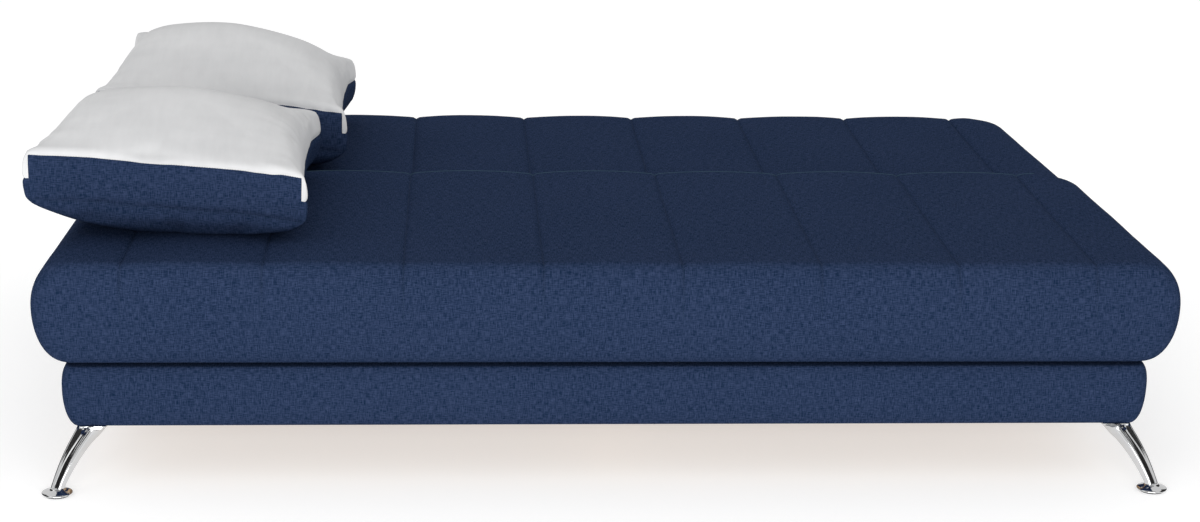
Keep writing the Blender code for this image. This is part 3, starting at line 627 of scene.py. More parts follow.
def cover_shell(name, towards, low, high, frame_low, frame_high, corners):
    """The plain skin of a cover: top grid, rolled sides, underside and the frame's recess."""
    widest = low.z + WIDEST_SHARE * (high.z - low.z)
    middle = (low.z + high.z) / 2
    joint_y, outer_y = (high.y, low.y) if towards < 0 else (low.y, high.y)

    def sides(z):
        """Half the width, the lowest y and the highest y of the cover at one height."""
        if z > widest:
            share = (z - widest) / (high.z - widest)
            end = roll_in(share, END_ROLL, END_FULLNESS)
        else:
            share = (widest - z) / (widest - low.z)
            end = roll_in(share * LOWER_END_REACH, END_ROLL, LOWER_END_FULLNESS)
        outer = outer_y - towards * roll_in(share, FRONT_ROLL, FRONT_FULLNESS)
        drawn = roll_in((z - middle) / (high.z - middle), JOINT_ROLL, JOINT_FULLNESS)
        inner = joint_y + towards * drawn
        return HALF_WIDTH - end, min(outer, inner), max(outer, inner)

    last = COVER_ROWS - 1
    even = np.arange(COVER_ROWS) / last
    spread = ROW_CROWDING * np.array([crowded(j, last) for j in range(COVER_ROWS)])
    columns = cover_columns()
    half, y0, y1 = sides(high.z)
    rows = y0 + (y1 - y0) * (spread + (1.0 - ROW_CROWDING) * even)
    grid_x, grid_y = np.meshgrid(columns, rows)
    flat_x, flat_y = grid_x.ravel(), grid_y.ravel()
    top_x, top_y = round_plan(flat_x, flat_y, half, y0, y1, corners)
    points = [np.column_stack((top_x, top_y, np.full(len(top_x), high.z)))]
    faces = grid_faces(len(rows), len(columns), 0, True)
    ring = border_of(len(rows), len(columns))
    ring_x, ring_y = flat_x[ring], flat_y[ring]
    outermost = smooth_step(np.abs(ring_x), SEAM_X[-1], half) * np.sign(ring_x)
    share_y = (ring_y - y0) / (y1 - y0)
    upper = list(ring)
    start = len(flat_x)
    for k in range(1, SIDE_LEVELS + 1):
        z = high.z - (high.z - low.z) * crowded(k, SIDE_LEVELS)
        half_z, low_z, high_z = sides(z)
        x = ring_x + outermost * (half_z - half)
        y = low_z + (high_z - low_z) * share_y
        x, y = round_plan(x, y, half_z, low_z, high_z, corners)
        points.append(np.column_stack((x, y, np.full(len(x), z))))
        lower = list(range(start, start + len(ring)))
        start += len(ring)
        faces += ring_faces(upper, lower)
        upper = lower
    inner_x = frame_high.x * flat_x / half
    inner_y = frame_low.y + (frame_high.y - frame_low.y) * (flat_y - y0) / (y1 - y0)
    points.append(np.column_stack((inner_x[ring], inner_y[ring], np.full(len(ring), low.z))))
    lower = list(range(start, start + len(ring)))
    faces += ring_faces(upper, lower)
    start += len(ring)
    points.append(np.column_stack((inner_x, inner_y, np.full(len(inner_x), frame_high.z))))
    faces += ring_faces(lower, [start + i for i in ring])
    faces += grid_faces(len(rows), len(columns), start, False)
    return skin(name, np.vstack(points), faces, navy_cloth), len(flat_x)


# %% [markdown]
# ## Quilted covers: seams, foam and hinge room
# The plain skin is now quilted: channels rise between the seams, the seams sink, and slow noise
# unsettles the foam. The ends draw in a little towards the rear. Last, two slots are cut at each
# end, for the hinge's plate and its ring.

# %% Quilted covers: seams, foam and hinge room
RECESS_AIR = 0.006
CREST_ENDS = 10           # columns left out at each end of the joint's crest
BARE_EDGE = 0.02          # the cover's lowest strip has neither channels nor seams
LEVEL_SHARE = 0.62        # of the crown: where the CAD surface lies between seam and crest
SEAM_VALLEYS = ((0.0042, 0.0024), (0.0016, 0.0012))    # width and depth: the valley, its stitching
SLOW_WAVES, QUICK_WAVES = (6.0, 0.0012), (19.0, 0.0004)    # per metre and height
FADE_FROM, FADE_BELOW_TOP = 0.25, 0.01    # of the height, and in metres: where seams fade in
INLAND = 0.10             # from the outer side to where the channels reach their full height
SIDE_SEAM_SHARE = 0.8     # how deep the seams are on the upright sides
CREASE_ANGLE = math.radians(50.0)


def frame_space(name):
    """The box that a panel's timber frame and arms need, with a little air."""
    low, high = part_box(f"{name}_left_rail")
    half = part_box("seat_arm_right")[1].x + RECESS_AIR
    start = Vector((-half, low.y - RECESS_AIR, low.z))
    return start, Vector((half, high.y + RECESS_AIR, high.z + RECESS_AIR))


def narrowing(points, towards, low, high):
    """How far each point draws in sideways: beyond the last seams only, most at the rear."""
    share = (points[:, 1] - low.y) / (high.y - low.y)
    height = smooth_step(points[:, 2], low.z + BARE_EDGE, high.z)
    outermost = smooth_step(np.abs(points[:, 0]), SEAM_X[-1], HALF_WIDTH - END_ROLL)
    taper = SEAT_TAPER if towards < 0 else BACK_TAPER
    return taper * share * height * outermost * np.sign(points[:, 0])


def quilt(item, towards, low, high, crown, edge_crown, seed):
    """Raise the channels, sink the seams and unsettle the foam a little."""
    points, normals = points_of(item), normals_of(item)
    outer_y = low.y if towards < 0 else high.y
    outer_crown, joint_crown = edge_crown
    channel, away = quilting(points[:, 0])
    upward = np.clip(normals[:, 2], 0.0, 1.0)
    outward = np.clip(normals[:, 1] * towards, 0.0, 1.0)
    joint_side = np.clip(normals[:, 1] * -towards, 0.0, 1.0)
    fade_from = low.z + FADE_FROM * (high.z - low.z)
    fade = smooth_step(points[:, 2], fade_from, high.z - FADE_BELOW_TOP)
    upright = outward * fade * outer_crown + joint_side * fade * joint_crown
    inland = smooth_step(np.abs(points[:, 1] - outer_y), 0.0, INLAND)
    level = upward * (outer_crown + (1.0 - outer_crown) * inland)
    above = points[:, 2] > low.z + BARE_EDGE
    full = np.clip(level + upright, 0.0, 1.0) * above
    sides = (outward + joint_side) * fade * SIDE_SEAM_SHARE
    sewn = np.clip(upward + sides, 0.0, 1.0) * above
    seam = sum(np.exp(-((away / width) ** 2)) * deep for width, deep in SEAM_VALLEYS)
    slow = ripple(points, SLOW_WAVES[0], seed) * SLOW_WAVES[1]
    slow += ripple(points, QUICK_WAVES[0], seed + 5) * QUICK_WAVES[1]
    lift = crown * (channel - LEVEL_SHARE) * full + (slow - seam) * sewn
    points = points + normals * lift[:, None]
    points[:, 0] -= narrowing(points, towards, low, high)
    move_points(item, points)


def slot_cutter(name, low, high):
    """A box that stands for the space of one hinge."""
    ends = ((low.x, high.x), (low.y, high.y), (low.z, high.z))
    corners = [(x, y, z) for x in ends[0] for y in ends[1] for z in ends[2]]
    faces = [(0, 1, 3, 2), (4, 6, 7, 5), (0, 4, 5, 1), (2, 3, 7, 6), (0, 2, 6, 4), (1, 5, 7, 3)]
    return skin(name, corners, faces)


SLOT_AIR = 0.004          # between the hinge's steel and the cover
RING_RADIUS = 0.016
RING_REACH = 0.020        # from the hinge line into the panel, room for the ring alone
SLOT_PAST = 0.01          # how far a cutter runs past the cover, for a clean cut
SKIN_LEFT = 0.012         # foam that stays above the plate's slot


def cut_hinge_slots(item, towards, low, high, frame_edge):
    """Leave room for the hinge plates, which reach up into the panel at both ends."""
    ring_top = HINGE_Z + RING_RADIUS + SLOT_AIR
    plate_slot = (abs(frame_edge - HINGE_Y), min(ring_top, high.z - SKIN_LEFT))
    for word in ("left", "right"):
        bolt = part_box(f"hinge_bolt_{word}")
        x0, x1 = bolt[0].x - SLOT_AIR, bolt[1].x + SLOT_AIR
        for reach, top in (plate_slot, (RING_REACH, ring_top)):
            far, near = HINGE_Y + towards * reach, HINGE_Y - towards * SLOT_PAST
            start = Vector((x0, min(far, near), low.z - SLOT_PAST))
            cutter = slot_cutter("hinge_slot", start, Vector((x1, max(far, near), top)))
            cut = item.modifiers.new("hinge_slot", "BOOLEAN")
            cut.operation = "DIFFERENCE"
            cut.solver = "EXACT"
            cut.object = cutter
            apply_modifiers(item)
            bpy.data.objects.remove(cutter, do_unlink=True)


def joint_crest(item, top_count, towards):
    """The line along which the top turns down into the joint, without its rounded corners."""
    columns = len(cover_columns())
    first = top_count + (0 if towards > 0 else columns + COVER_ROWS - 2)
    return points_of(item)[first + CREST_ENDS:first + columns - CREST_ENDS]


def quilted_cover(name, towards, crown, edge_crown, seed):
    """One panel's cover, from skin to quilting to hinge slots."""
    low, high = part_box(f"{name}_padding")
    frame_low, frame_high = frame_space(name)
    corners = SEAT_CORNERS if towards < 0 else BACK_CORNERS[::-1]
    made, top_count = cover_shell(
        f"{name}_cover", towards, low, high, frame_low, frame_high, corners
    )
    quilt(made, towards, low, high, crown, edge_crown, seed)
    crest = joint_crest(made, top_count, towards)
    cut_hinge_slots(made, towards, low, high, frame_high.y if towards < 0 else frame_low.y)
    made.data.shade_smooth()
    made.data.set_sharp_from_angle(angle=CREASE_ANGLE)
    lay_weave(made)
    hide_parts(f"{name}_padding")
    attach(made, name)
    print(made.name, len(made.data.polygons), "faces,", top_count, "points on its top")
    return made, crest


seat_cover, seat_crest = quilted_cover("seat", -1, 0.0055, (0.12, 0.45), 1)
back_cover = quilted_cover("back", 1, 0.0080, (0.45, 0.40), 2)[0]

# %% [markdown]
# ## Box cover
# The bedding box is wrapped in the same cloth over thin foam: one closed band, bulging a little and
# soft at its corners. It is swept round the plan of the box, with more levels near its top and
# bottom edges, where the cloth turns in to be stapled.


# %% Box cover
BOX_CORNER = 0.030        # radius of the plan's corners
CORNER_STEPS = 8
BOX_PITCH = 0.012         # from point to point along the straight sides
BOX_ROLL = 0.026          # how far the band draws in at its bottom, and half of it at its top
BOX_FULLNESS = 2.2
BOX_WIDEST_SHARE = 0.64
BOX_LEVELS = 24
BOX_PROUD = 0.010         # how far the foam stands beyond the CAD pad at the ends
BOX_SOFT_SHARE = 0.93     # of the height, where the foam may be uneven
BOX_WAVE, BOX_SINK = 0.0009, 0.0006
NEAR = 1e-4
MERGE = 0.00002


def plan_ring(half, low_y, high_y, radius, pitch):
    """A closed plan with round corners, anticlockwise, with a point about every pitch."""
    x, y0, y1 = half - radius, low_y + radius, high_y - radius
    corners = ((x, y0, -90.0), (x, y1, 0.0), (-x, y1, 90.0), (-x, y0, 180.0))

    def on_corner(corner, step):
        angle = math.radians(corner[2] + 90.0 * step / CORNER_STEPS)
        return corner[0] + radius * math.cos(angle), corner[1] + radius * math.sin(angle)

    points = []
    for index, corner in enumerate(corners):
        points += [on_corner(corner, i) for i in range(CORNER_STEPS + 1)]
        begin, end = np.array(points[-1]), np.array(on_corner(corners[(index + 1) % 4], 0))
        steps = max(2, round(math.dist(begin, end) / pitch))
        points += [tuple(begin + (end - begin) * (i / steps)) for i in range(1, steps)]
    return np.array(points)


def wrap_box():
    """The padded band round the bedding box."""
    front_low, front_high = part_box("box_front_pad")
    rear_low, rear_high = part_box("box_rear_pad")
    inner_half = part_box("box_right_pad")[0].x
    inner_y = (front_high.y, rear_low.y)
    half = front_high.x + BOX_PROUD
    outer = plan_ring(half, front_low.y, rear_high.y, BOX_CORNER, BOX_PITCH)
    inner_x = np.clip(outer[:, 0], -inner_half, inner_half)
    inner = np.column_stack((inner_x, np.clip(outer[:, 1], *inner_y)))
    ahead = np.roll(outer, -1, 0) - np.roll(outer, 1, 0)
    outward = np.column_stack((ahead[:, 1], -ahead[:, 0]))
    outward /= np.linalg.norm(outward, axis=1)[:, None]
    low_z, high_z = front_low.z, front_high.z
    middle = (low_z + high_z) / 2
    widest = low_z + BOX_WIDEST_SHARE * (high_z - low_z)
    rings = []
    for k in range(BOX_LEVELS + 1):
        z = middle - (high_z - middle) * math.cos(math.pi * k / BOX_LEVELS)
        edge, roll = (high_z, 0.5 * BOX_ROLL) if z >= widest else (low_z, BOX_ROLL)
        draw = roll_in((z - widest) / (edge - widest), roll, BOX_FULLNESS)
        rings.append(np.column_stack((outer - outward * draw, np.full(len(outer), z))))
    for z in (high_z, low_z):
        rings.append(np.column_stack((inner, np.full(len(inner), z))))
    faces = band_faces(len(rings), len(outer), closed=True)
    made = skin("box_cover", np.vstack(rings), faces, navy_cloth)
    face_outwards(made, MERGE)
    points, normals = points_of(made), normals_of(made)
    soft = np.hypot(normals[:, 0], normals[:, 1])
    soft = soft * (np.abs(points[:, 2] - middle) < (high_z - middle) * BOX_SOFT_SHARE)
    inside = np.abs(points[:, 0]) <= inner_half + NEAR
    inside &= (points[:, 1] > inner_y[0] - NEAR) & (points[:, 1] < inner_y[1] + NEAR)
    lift = ripple(points, 9.0, 11) * BOX_WAVE - BOX_SINK
    move_points(made, points + normals * (lift * soft * ~inside)[:, None])
    print("box cover", len(made.data.polygons), "faces,", round(2 * half, 3), "m wide")
    return made


box_cover = wrap_box()
box_cover.data.set_sharp_from_angle(angle=math.radians(60.0))
lay_weave(box_cover)
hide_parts("box_front_pad", "box_rear_pad", "box_left_pad", "box_right_pad")
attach(box_cover, "base")

# %% [markdown]
# ## Pillows
# Each pillow is a box pillow: a pale top that folds down both sides to half height, a navy
# underside that folds up to meet it, and a navy gusset across the front and the rear. The start
# shape is the surface of a lattice, so every point knows which panel it belongs to. A cloth
# simulation then blows it up a little, which pulls the sides in between the corners and wrinkles
# the seams. Its movement is capped, so the pillow keeps to its place.

# %% Pillows: the sewn lattice
PILLOW_CELLS = (56, 60, 10)
GUSSET_SHARE = 0.975      # of the width; beside it the side panels turn the corner
EDGE_CELLS = (0.022, 0.018, 0.100)    # size of the cells beside the seams, which keeps seams crisp
PILLOW_ROLL = 0.045       # how much higher the outer side lies
PILLOW_CROWN = 0.074      # height of the top above its seams
PULL_IN = (0.050, 0.020)  # how far the sides and the two ends draw in between the corners
PULL_POWER = 0.8
STANDS_OUT = (0.003, 0.002)           # the start shape, beyond the CAD pillow in x and y
CORNER_POWER, CORNER_TIGHTENING = 44.0, 0.35
DOME_POWERS = (0.62, 1.55)            # a crown that is broad across and falls off along
BELLY_SHARE, BELLY_POWER = 1.25, 0.46
SIDE_PUFF = 0.006
AT_EDGE = 1.0 - 1e-9      # a share from here on is on the lattice's surface
CORNER_SHIFTS = {         # how far single corners are pushed, in metres
    "pillow_front": {
        (-1, 1): (0.040, -0.010, -0.012),
        (1, 1): (-0.008, 0.0, 0.0),
    },
    "pillow_rear": {
        (-1, 1): (0.006, 0.0, 0.014),
        (-1, -1): (-0.012, 0.0, 0.0),
        (1, -1): (-0.004, 0.0, 0.0),
        (1, 1): (-0.008, 0.0, 0.0),
    },
}


def lattice(cells):
    """Surface points of a lattice from -1 to 1, its faces, and the panel of each face."""
    index, shares, faces, pale = {}, [], [], []

    def point(key):
        """The number of a lattice point, made at its first use."""
        if key not in index:
            index[key] = len(shares)
            shares.append([2.0 * key[a] / cells[a] - 1.0 for a in range(3)])
        return index[key]

    for axis in range(3):
        b, c = (axis + 1) % 3, (axis + 2) % 3
        for end in (0, cells[axis]):
            for i in range(cells[b]):
                for j in range(cells[c]):
                    keys = []
                    for di, dj in ((0, 0), (1, 0), (1, 1), (0, 1)):
                        key = [0, 0, 0]
                        key[axis], key[b], key[c] = end, i + di, j + dj
                        keys.append(tuple(key))
                    quad = [point(k) for k in keys]
                    faces.append(quad if end else quad[::-1])
                    middle = np.mean([shares[q] for q in quad], axis=0)
                    upper = middle[2] > 0.0
                    if axis == 2:
                        pale.append(end > 0)
                    elif axis == 0:
                        pale.append(upper)
                    else:
                        pale.append(upper and abs(middle[0]) > GUSSET_SHARE)
    return np.array(shares), faces, pale


def pillow_points(shares, low, high, belly, gusset, extra, shifts):
    """Where the lattice's points lie before the cloth is blown up."""
    u, v, w = shares.T
    centre_x, centre_y = (low.x + high.x) / 2, (low.y + high.y) / 2
    half_x = (high.x - low.x) / 2 + STANDS_OUT[0]
    half_y = (high.y - low.y) / 2 + STANDS_OUT[1]
    pull_x = 1.0 - PULL_IN[0] * (1.0 - v**2) ** PULL_POWER
    pull_y = 1.0 - PULL_IN[1] * (1.0 - u**2) ** PULL_POWER
    total = np.abs(u) ** CORNER_POWER + np.abs(v) ** CORNER_POWER + 1e-9
    rounding = np.maximum(np.abs(u), np.abs(v)) / total ** (1.0 / CORNER_POWER)
    tighten = 1.0 - (1.0 - rounding) * CORNER_TIGHTENING
    x = centre_x + half_x * u * pull_x * tighten
    y = centre_y + half_y * v * pull_y * tighten
    across, along = np.clip(1.0 - u**2, 0.0, 1.0), np.clip(1.0 - v**2, 0.0, 1.0)
    dome = across ** DOME_POWERS[0] * along ** DOME_POWERS[1]
    side = low.z + belly + gusset * (w + 1.0) / 2.0
    hang = belly * BELLY_SHARE * (across * along) ** BELLY_POWER
    on_top, below = w >= AT_EDGE, w <= -AT_EDGE
    rise = np.where(on_top, (PILLOW_CROWN + extra) * dome, 0.0) - np.where(below, hang, 0.0)
    tilt = -PILLOW_ROLL * (x - centre_x) / (2.0 * half_x)
    hold = np.where(below, 1.0 - dome, 1.0)
    z = np.maximum(side + rise + tilt * hold, low.z + 0.0005)
    for (u_end, v_end), (dx, dy, dz) in shifts.items():
        near = ((1.0 + u_end * u) * (1.0 + v_end * v) / 4.0) ** 1.5
        x, y, z = x + dx * near, y + dy * near, z + dz * near * (w + 1.0) / 2.0
    puff = np.sqrt(np.clip(1.0 - w**2, 0.0, 1.0)) * SIDE_PUFF
    x += np.sign(u) * puff * (np.abs(u) >= AT_EDGE)
    y += np.sign(v) * puff * (np.abs(v) >= AT_EDGE)
    return np.column_stack((x, y, z))


def crisp(shares):
    """Move the lattice's second lines up to the seams."""
    for axis, (cells, edge) in enumerate(zip(PILLOW_CELLS, EDGE_CELLS)):
        second = np.abs(np.abs(shares[:, axis]) - (1.0 - 2.0 / cells)) < 0.001
        shares[second, axis] = np.sign(shares[second, axis]) * (1.0 - edge)
    return shares


even_shares, pillow_faces, pillow_pale = lattice(PILLOW_CELLS)
pillow_shares = crisp(even_shares)
print("pillow lattice:", len(pillow_shares), "points")
print(sum(pillow_pale), "pale faces of", len(pillow_faces))

# %% [markdown]
# ## Pillows: blowing up the cloth
# Pressure pushes every panel outwards while the cloth's own stiffness resists, so slack gathers in
# soft wrinkles beside the seams. Gravity is off, because the start shape already lies on the bed.

# %% Pillows: blowing up the cloth
MOVE_CAP = 0.009          # how far a point may move
CLOTH_FRAMES = 20


def blow_up(item, floor_z):
    """Run the cloth, then cap how far each point moved and keep it above the bed."""
    before = points_of(item)
    cloth = item.modifiers.new("cloth", "CLOTH")
    settings = cloth.settings
    settings.quality = 5
    settings.mass = 0.25
    settings.tension_stiffness = 22.0
    settings.compression_stiffness = 22.0
    settings.shear_stiffness = 9.0
    settings.bending_stiffness = 0.35
    settings.use_pressure = True
    settings.uniform_pressure_force = 4.0
    settings.shrink_min = -0.035
    settings.effector_weights.gravity = 0.0
    cloth.collision_settings.use_collision = False
    cloth.collision_settings.use_self_collision = False
    scene = bpy.context.scene
    for number in range(1, CLOTH_FRAMES + 1):
        scene.frame_set(number)
    apply_modifiers(item)
    scene.frame_set(1)
    moved = points_of(item) - before
    length = np.linalg.norm(moved, axis=1)
    moved *= np.minimum(1.0, MOVE_CAP / np.maximum(length, 1e-9))[:, None]
    after = before + moved
    after[:, 2] = np.maximum(after[:, 2], floor_z)
    move_points(item, after)
    furthest = round(float(length.max()) * 1000, 1)
    print(item.name, "moved up to", furthest, "mm, capped at", MOVE_CAP * 1000)


# %% [markdown]
# ## Pillows: seams and gathers
# The blown-up mesh is refined once, and then the seams are sunk and the cloth beside them puffs up
# and gathers. The lattice shares are stored on the mesh first, so every finer point still knows how
# far it is from each seam.

# %% Pillows: seams and gathers
SHARE_MARKS = ("share_u", "share_v", "share_w")
GROOVE_WIDTH, GROOVE_DEPTH = 0.0034, 0.0026
PUFF_AWAY, PUFF_WIDTH, PUFF_HEIGHT = 0.011, 0.007, 0.0007
SAME_U, SAME_W = 0.004, 0.02          # shares this close count as on a seam


def add_share_marks(item, shares):
    """Store the lattice shares on the mesh, so that they survive subdivision."""
    for name, values in zip(SHARE_MARKS, shares.T):
        mark = item.data.attributes.new(name, "FLOAT", "POINT")
        mark.data.foreach_set("value", values.astype(np.float32))


def read_share_marks(item):
    """The stored shares of a finer mesh, taken off it again."""
    found = []
    for name in SHARE_MARKS:
        mark = item.data.attributes[name]
        values = np.empty(len(item.data.vertices), np.float32)
        mark.data.foreach_get("value", values)
        found.append(values.astype(float))
        item.data.attributes.remove(mark)
    return found


def sew(item, size):
    """Sink the seams and puff the cloth beside them. Gives each seam's line, and if it is pale."""
    u, v, w = read_share_marks(item)
    du, dv = (1.0 - np.abs(u)) * size[0] / 2, (1.0 - np.abs(v)) * size[1] / 2
    dw = (1.0 - np.abs(w)) * size[2] / 2
    gusset_edge = np.hypot(dv, dw)
    side_join = np.hypot(du, np.abs(w) * size[2] / 2)
    corner_edge = np.hypot(np.abs(np.abs(u) - (1.0 - EDGE_CELLS[0])) * size[0] / 2, dv)
    away = np.minimum(np.minimum(gusset_edge, side_join), corner_edge)
    shape = -GROOVE_DEPTH * np.exp(-((away / GROOVE_WIDTH) ** 2))
    shape += PUFF_HEIGHT * np.exp(-(((away - PUFF_AWAY) / PUFF_WIDTH) ** 2))
    points, normals = points_of(item), normals_of(item)
    fine = ripple(points, 26.0, 21) * 0.0008 * np.exp(-away / 0.06)
    fine += ripple(points, 9.0, 23) * 0.0014
    side_waves = ripple(points * (0.12, 1.0, 0.12), 42.0, 27) * 0.0034
    end_waves = ripple(points * (1.0, 0.12, 0.12), 36.0, 29) * 0.0016
    gathers = side_waves * np.exp(-du / 0.055) * (du > 1e-6)
    gathers += end_waves * np.exp(-dv / 0.030) * (dv > 1e-6)
    points = points + normals * (shape + fine + gathers * (w > -0.5))[:, None]
    move_points(item, points)

    def line(on_seam, order):
        row = np.nonzero(on_seam)[0]
        return points[row[np.argsort(order[row])]]

    seams = []
    for end in (-1, 1):
        for height in (-1, 1):
            on_seam = (np.abs(v - end) < SAME_U) & (np.abs(w - height) < SAME_W)
            seams.append((line(on_seam, u), height > 0))
        seams.append((line((np.abs(u - end) < SAME_U) & (np.abs(w) < SAME_W), v), False))
    return seams


def pillow(name, belly, gusset, extra):
    """One pillow, from lattice to finished cloth."""
    low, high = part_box(name)
    shifts = CORNER_SHIFTS[name]
    points = pillow_points(pillow_shares, low, high, belly, gusset, extra, shifts)
    made = skin(f"{name}_cover", points, pillow_faces, navy_cloth, pale_velour)
    made.data.polygons.foreach_set("material_index", np.array(pillow_pale, np.int32))
    add_share_marks(made, pillow_shares)
    blow_up(made, low.z)
    finer = made.modifiers.new("finer", "SUBSURF")
    finer.levels = finer.render_levels = 1
    apply_modifiers(made)
    seams = sew(made, (high.x - low.x, high.y - low.y, gusset))
    final = points_of(made)
    final[:, 2] = np.maximum(final[:, 2], low.z)
    move_points(made, final)
    lay_weave(made)
    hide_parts(name)
    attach(made, name)
    crown = round(float(final[:, 2].max()), 3)
    print(made.name, len(made.data.polygons), "faces, crown at", crown)
    return seams


front_seams = pillow("pillow_front", 0.062, 0.080, 0.0)
rear_seams = pillow("pillow_rear", 0.074, 0.080, 0.022)

# %% [markdown]
# ## Chrome horns
# A leg is a die-cast horn: wide where it meets its plate, thin at the foot, curving outwards as it
# drops. Its outer face is hollowed between two rims. The horn is lofted: one smooth section is
# carried down a curve, shrinking as it goes, and flares into the plate at its top.


# %% Chrome horns
SECTION_POINTS = 44
SECTION_POWER = 0.55              # 1 is an oval, less is squarer
HOLLOW, HOLLOW_WIDTH = 0.36, 0.27     # depth by thickness, and half its width by width
TOP_WIDTH, TOP_THICKNESS = 0.041, 0.028
TOE_WIDTH, TOE_THICKNESS = 0.0215, 0.0150
FLARE = 0.010                     # how much wider and thicker the horn gets at its plate
BOW = 0.015                       # how far the horn's line bows outwards
IN_FROM_PLATE = (0.003, 0.010)    # the horn's top from the plate's centre, in x and y
HORN_STEPS = 40
PLATE_GAP = 0.0002
TOE_IN_FOOT = 0.0030              # how deep the toe stands in its foot


def horn_section(width, thickness, hollow):
    """A rounded section with a hollow in its outward face, as across and outward points."""
    points = []
    for i in range(SECTION_POINTS):
        angle = 2.0 * math.pi * i / SECTION_POINTS
        c, s = math.cos(angle), math.sin(angle)
        a = width / 2 * math.copysign(abs(c) ** SECTION_POWER, c)
        b = thickness / 2 * math.copysign(abs(s) ** SECTION_POWER, s)
        if s > 0:
            b -= hollow * thickness * math.exp(-((a / (width * HOLLOW_WIDTH)) ** 4))
        points.append((a, b))
    return points


def horn(word, side, towards):
    """One leg's horn, from the boxes of its plate and foot."""
    plate_low, plate_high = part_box(f"leg_plate_{word}")
    foot_low, foot_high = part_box(f"leg_foot_{word}")
    plate, foot = (plate_low + plate_high) / 2, (foot_low + foot_high) / 2
    in_x, in_y = IN_FROM_PLATE
    top_z, foot_z = plate_low.z - PLATE_GAP, foot_high.z - TOE_IN_FOOT
    start = Vector((plate.x + side * in_x, plate.y + towards * in_y, top_z))
    end = Vector((foot.x, foot.y, foot_z))
    run = Vector((end.x - start.x, end.y - start.y, 0.0))
    out = run.normalized()
    across = Vector((-out.y, out.x, 0.0))
    drop = top_z - foot_z
    bow = (out * drop + Vector((0, 0, 1)) * run.length) * (BOW / (end - start).length)
    control = (start + end) / 2 + bow
    rings = []
    for k in range(HORN_STEPS + 1):
        share = k / HORN_STEPS
        rest = 1.0 - share
        centre = start * rest**2 + control * 2 * rest * share + end * share**2
        slope = ((control - start) * rest + (end - control) * share).normalized()
        flare = math.exp(-((share / 0.075) ** 1.3))
        lift = math.exp(-(((1.0 - share) / 0.05) ** 2)) * 0.2
        width = TOP_WIDTH + (TOE_WIDTH - TOP_WIDTH) * share**0.85 + FLARE * flare + lift * 0.01
        thick = TOP_THICKNESS + (TOE_THICKNESS - TOP_THICKNESS) * share + FLARE * flare
        level = min(1.0, share / 0.12, (1.0 - share) / 0.05)
        forward = (across.cross(slope) * -1.0).lerp(out, 1.0 - level).normalized()
        if forward.dot(out) < 0:
            forward = -forward
        hollow = HOLLOW * (1.0 - flare) * (1.0 - 0.5 * share)
        section = horn_section(width, thick, hollow)
        rings += [centre + across * a + forward * b for a, b in section]
    faces = band_faces(HORN_STEPS + 1, SECTION_POINTS)
    faces.append(tuple(range(SECTION_POINTS))[::-1])
    faces.append(tuple(range(len(rings) - SECTION_POINTS, len(rings))))
    made = skin(f"leg_horn_{word}", rings, faces, polished_chrome)
    face_outwards(made)
    made.data.set_sharp_from_angle(angle=math.radians(45.0))
    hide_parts(f"leg_{word}")
    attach(made, "base")
    return drop


ROWS = (("front", -1), ("rear", 1))
LEGS = [(f"{row}_{word}", side, towards) for row, towards in ROWS for word, side in SIDES]
drops = [horn(word, side, towards) for word, side, towards in LEGS]
print("horns drop", [round(drop * 1000) for drop in drops], "mm to their feet")

# %% [markdown]
# ## Stepped feet
# Each horn stands on a turned foot: a low dome, a step and a round rim. A turned piece is a profile
# swept once round its axis, which is what the Screw modifier does.

# %% Stepped feet
FOOT_PROFILE = (          # shares of the radius and of the height, from the top down
    (0.0, 1.0), (0.38, 1.0), (0.44, 0.96), (0.47, 0.86), (0.53, 0.74),
    (0.62, 0.66), (0.74, 0.56), (0.84, 0.44), (0.93, 0.34), (0.975, 0.26),
    (1.0, 0.16), (1.0, 0.07), (0.985, 0.02), (0.95, 0.0), (0.0, 0.0),
)
TURN_STEPS = 56


def stepped_foot(word):
    """One foot, turned from the profile at its CAD box."""
    low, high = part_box(f"leg_foot_{word}")
    centre = (low + high) / 2
    radius, height = (high.x - low.x) / 2, high.z - low.z
    mesh = bpy.data.meshes.new("foot_profile")
    line = [(r * radius, 0.0, low.z + h * height) for r, h in FOOT_PROFILE]
    mesh.from_pydata(line, [(i, i + 1) for i in range(len(line) - 1)], [])
    made = bpy.data.objects.new(f"leg_foot_turned_{word}", mesh)
    bpy.context.scene.collection.objects.link(made)
    sweep = made.modifiers.new("sweep", "SCREW")
    sweep.steps = sweep.render_steps = TURN_STEPS
    sweep.use_merge_vertices = True
    sweep.merge_threshold = MERGE
    apply_modifiers(made)
    made.data.transform(Matrix.Translation((centre.x, centre.y, 0.0)))
    face_outwards(made)
    made.data.shade_smooth()
    made.data.set_sharp_from_angle(angle=CREASE_ANGLE)
    made.data.materials.clear()
    made.data.materials.append(polished_chrome)
    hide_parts(f"leg_foot_{word}")
    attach(made, "base")
    return len(made.data.polygons)


print("turned feet:", [stepped_foot(word) for word, side, towards in LEGS], "faces each")

# %% [markdown]
# ## Geometry nodes toolkit
# Thread, screws and staples repeat hundreds of times. One node tree for each puts a small shape at
# every point of a guide, so a change of pitch or size is a change of one number.


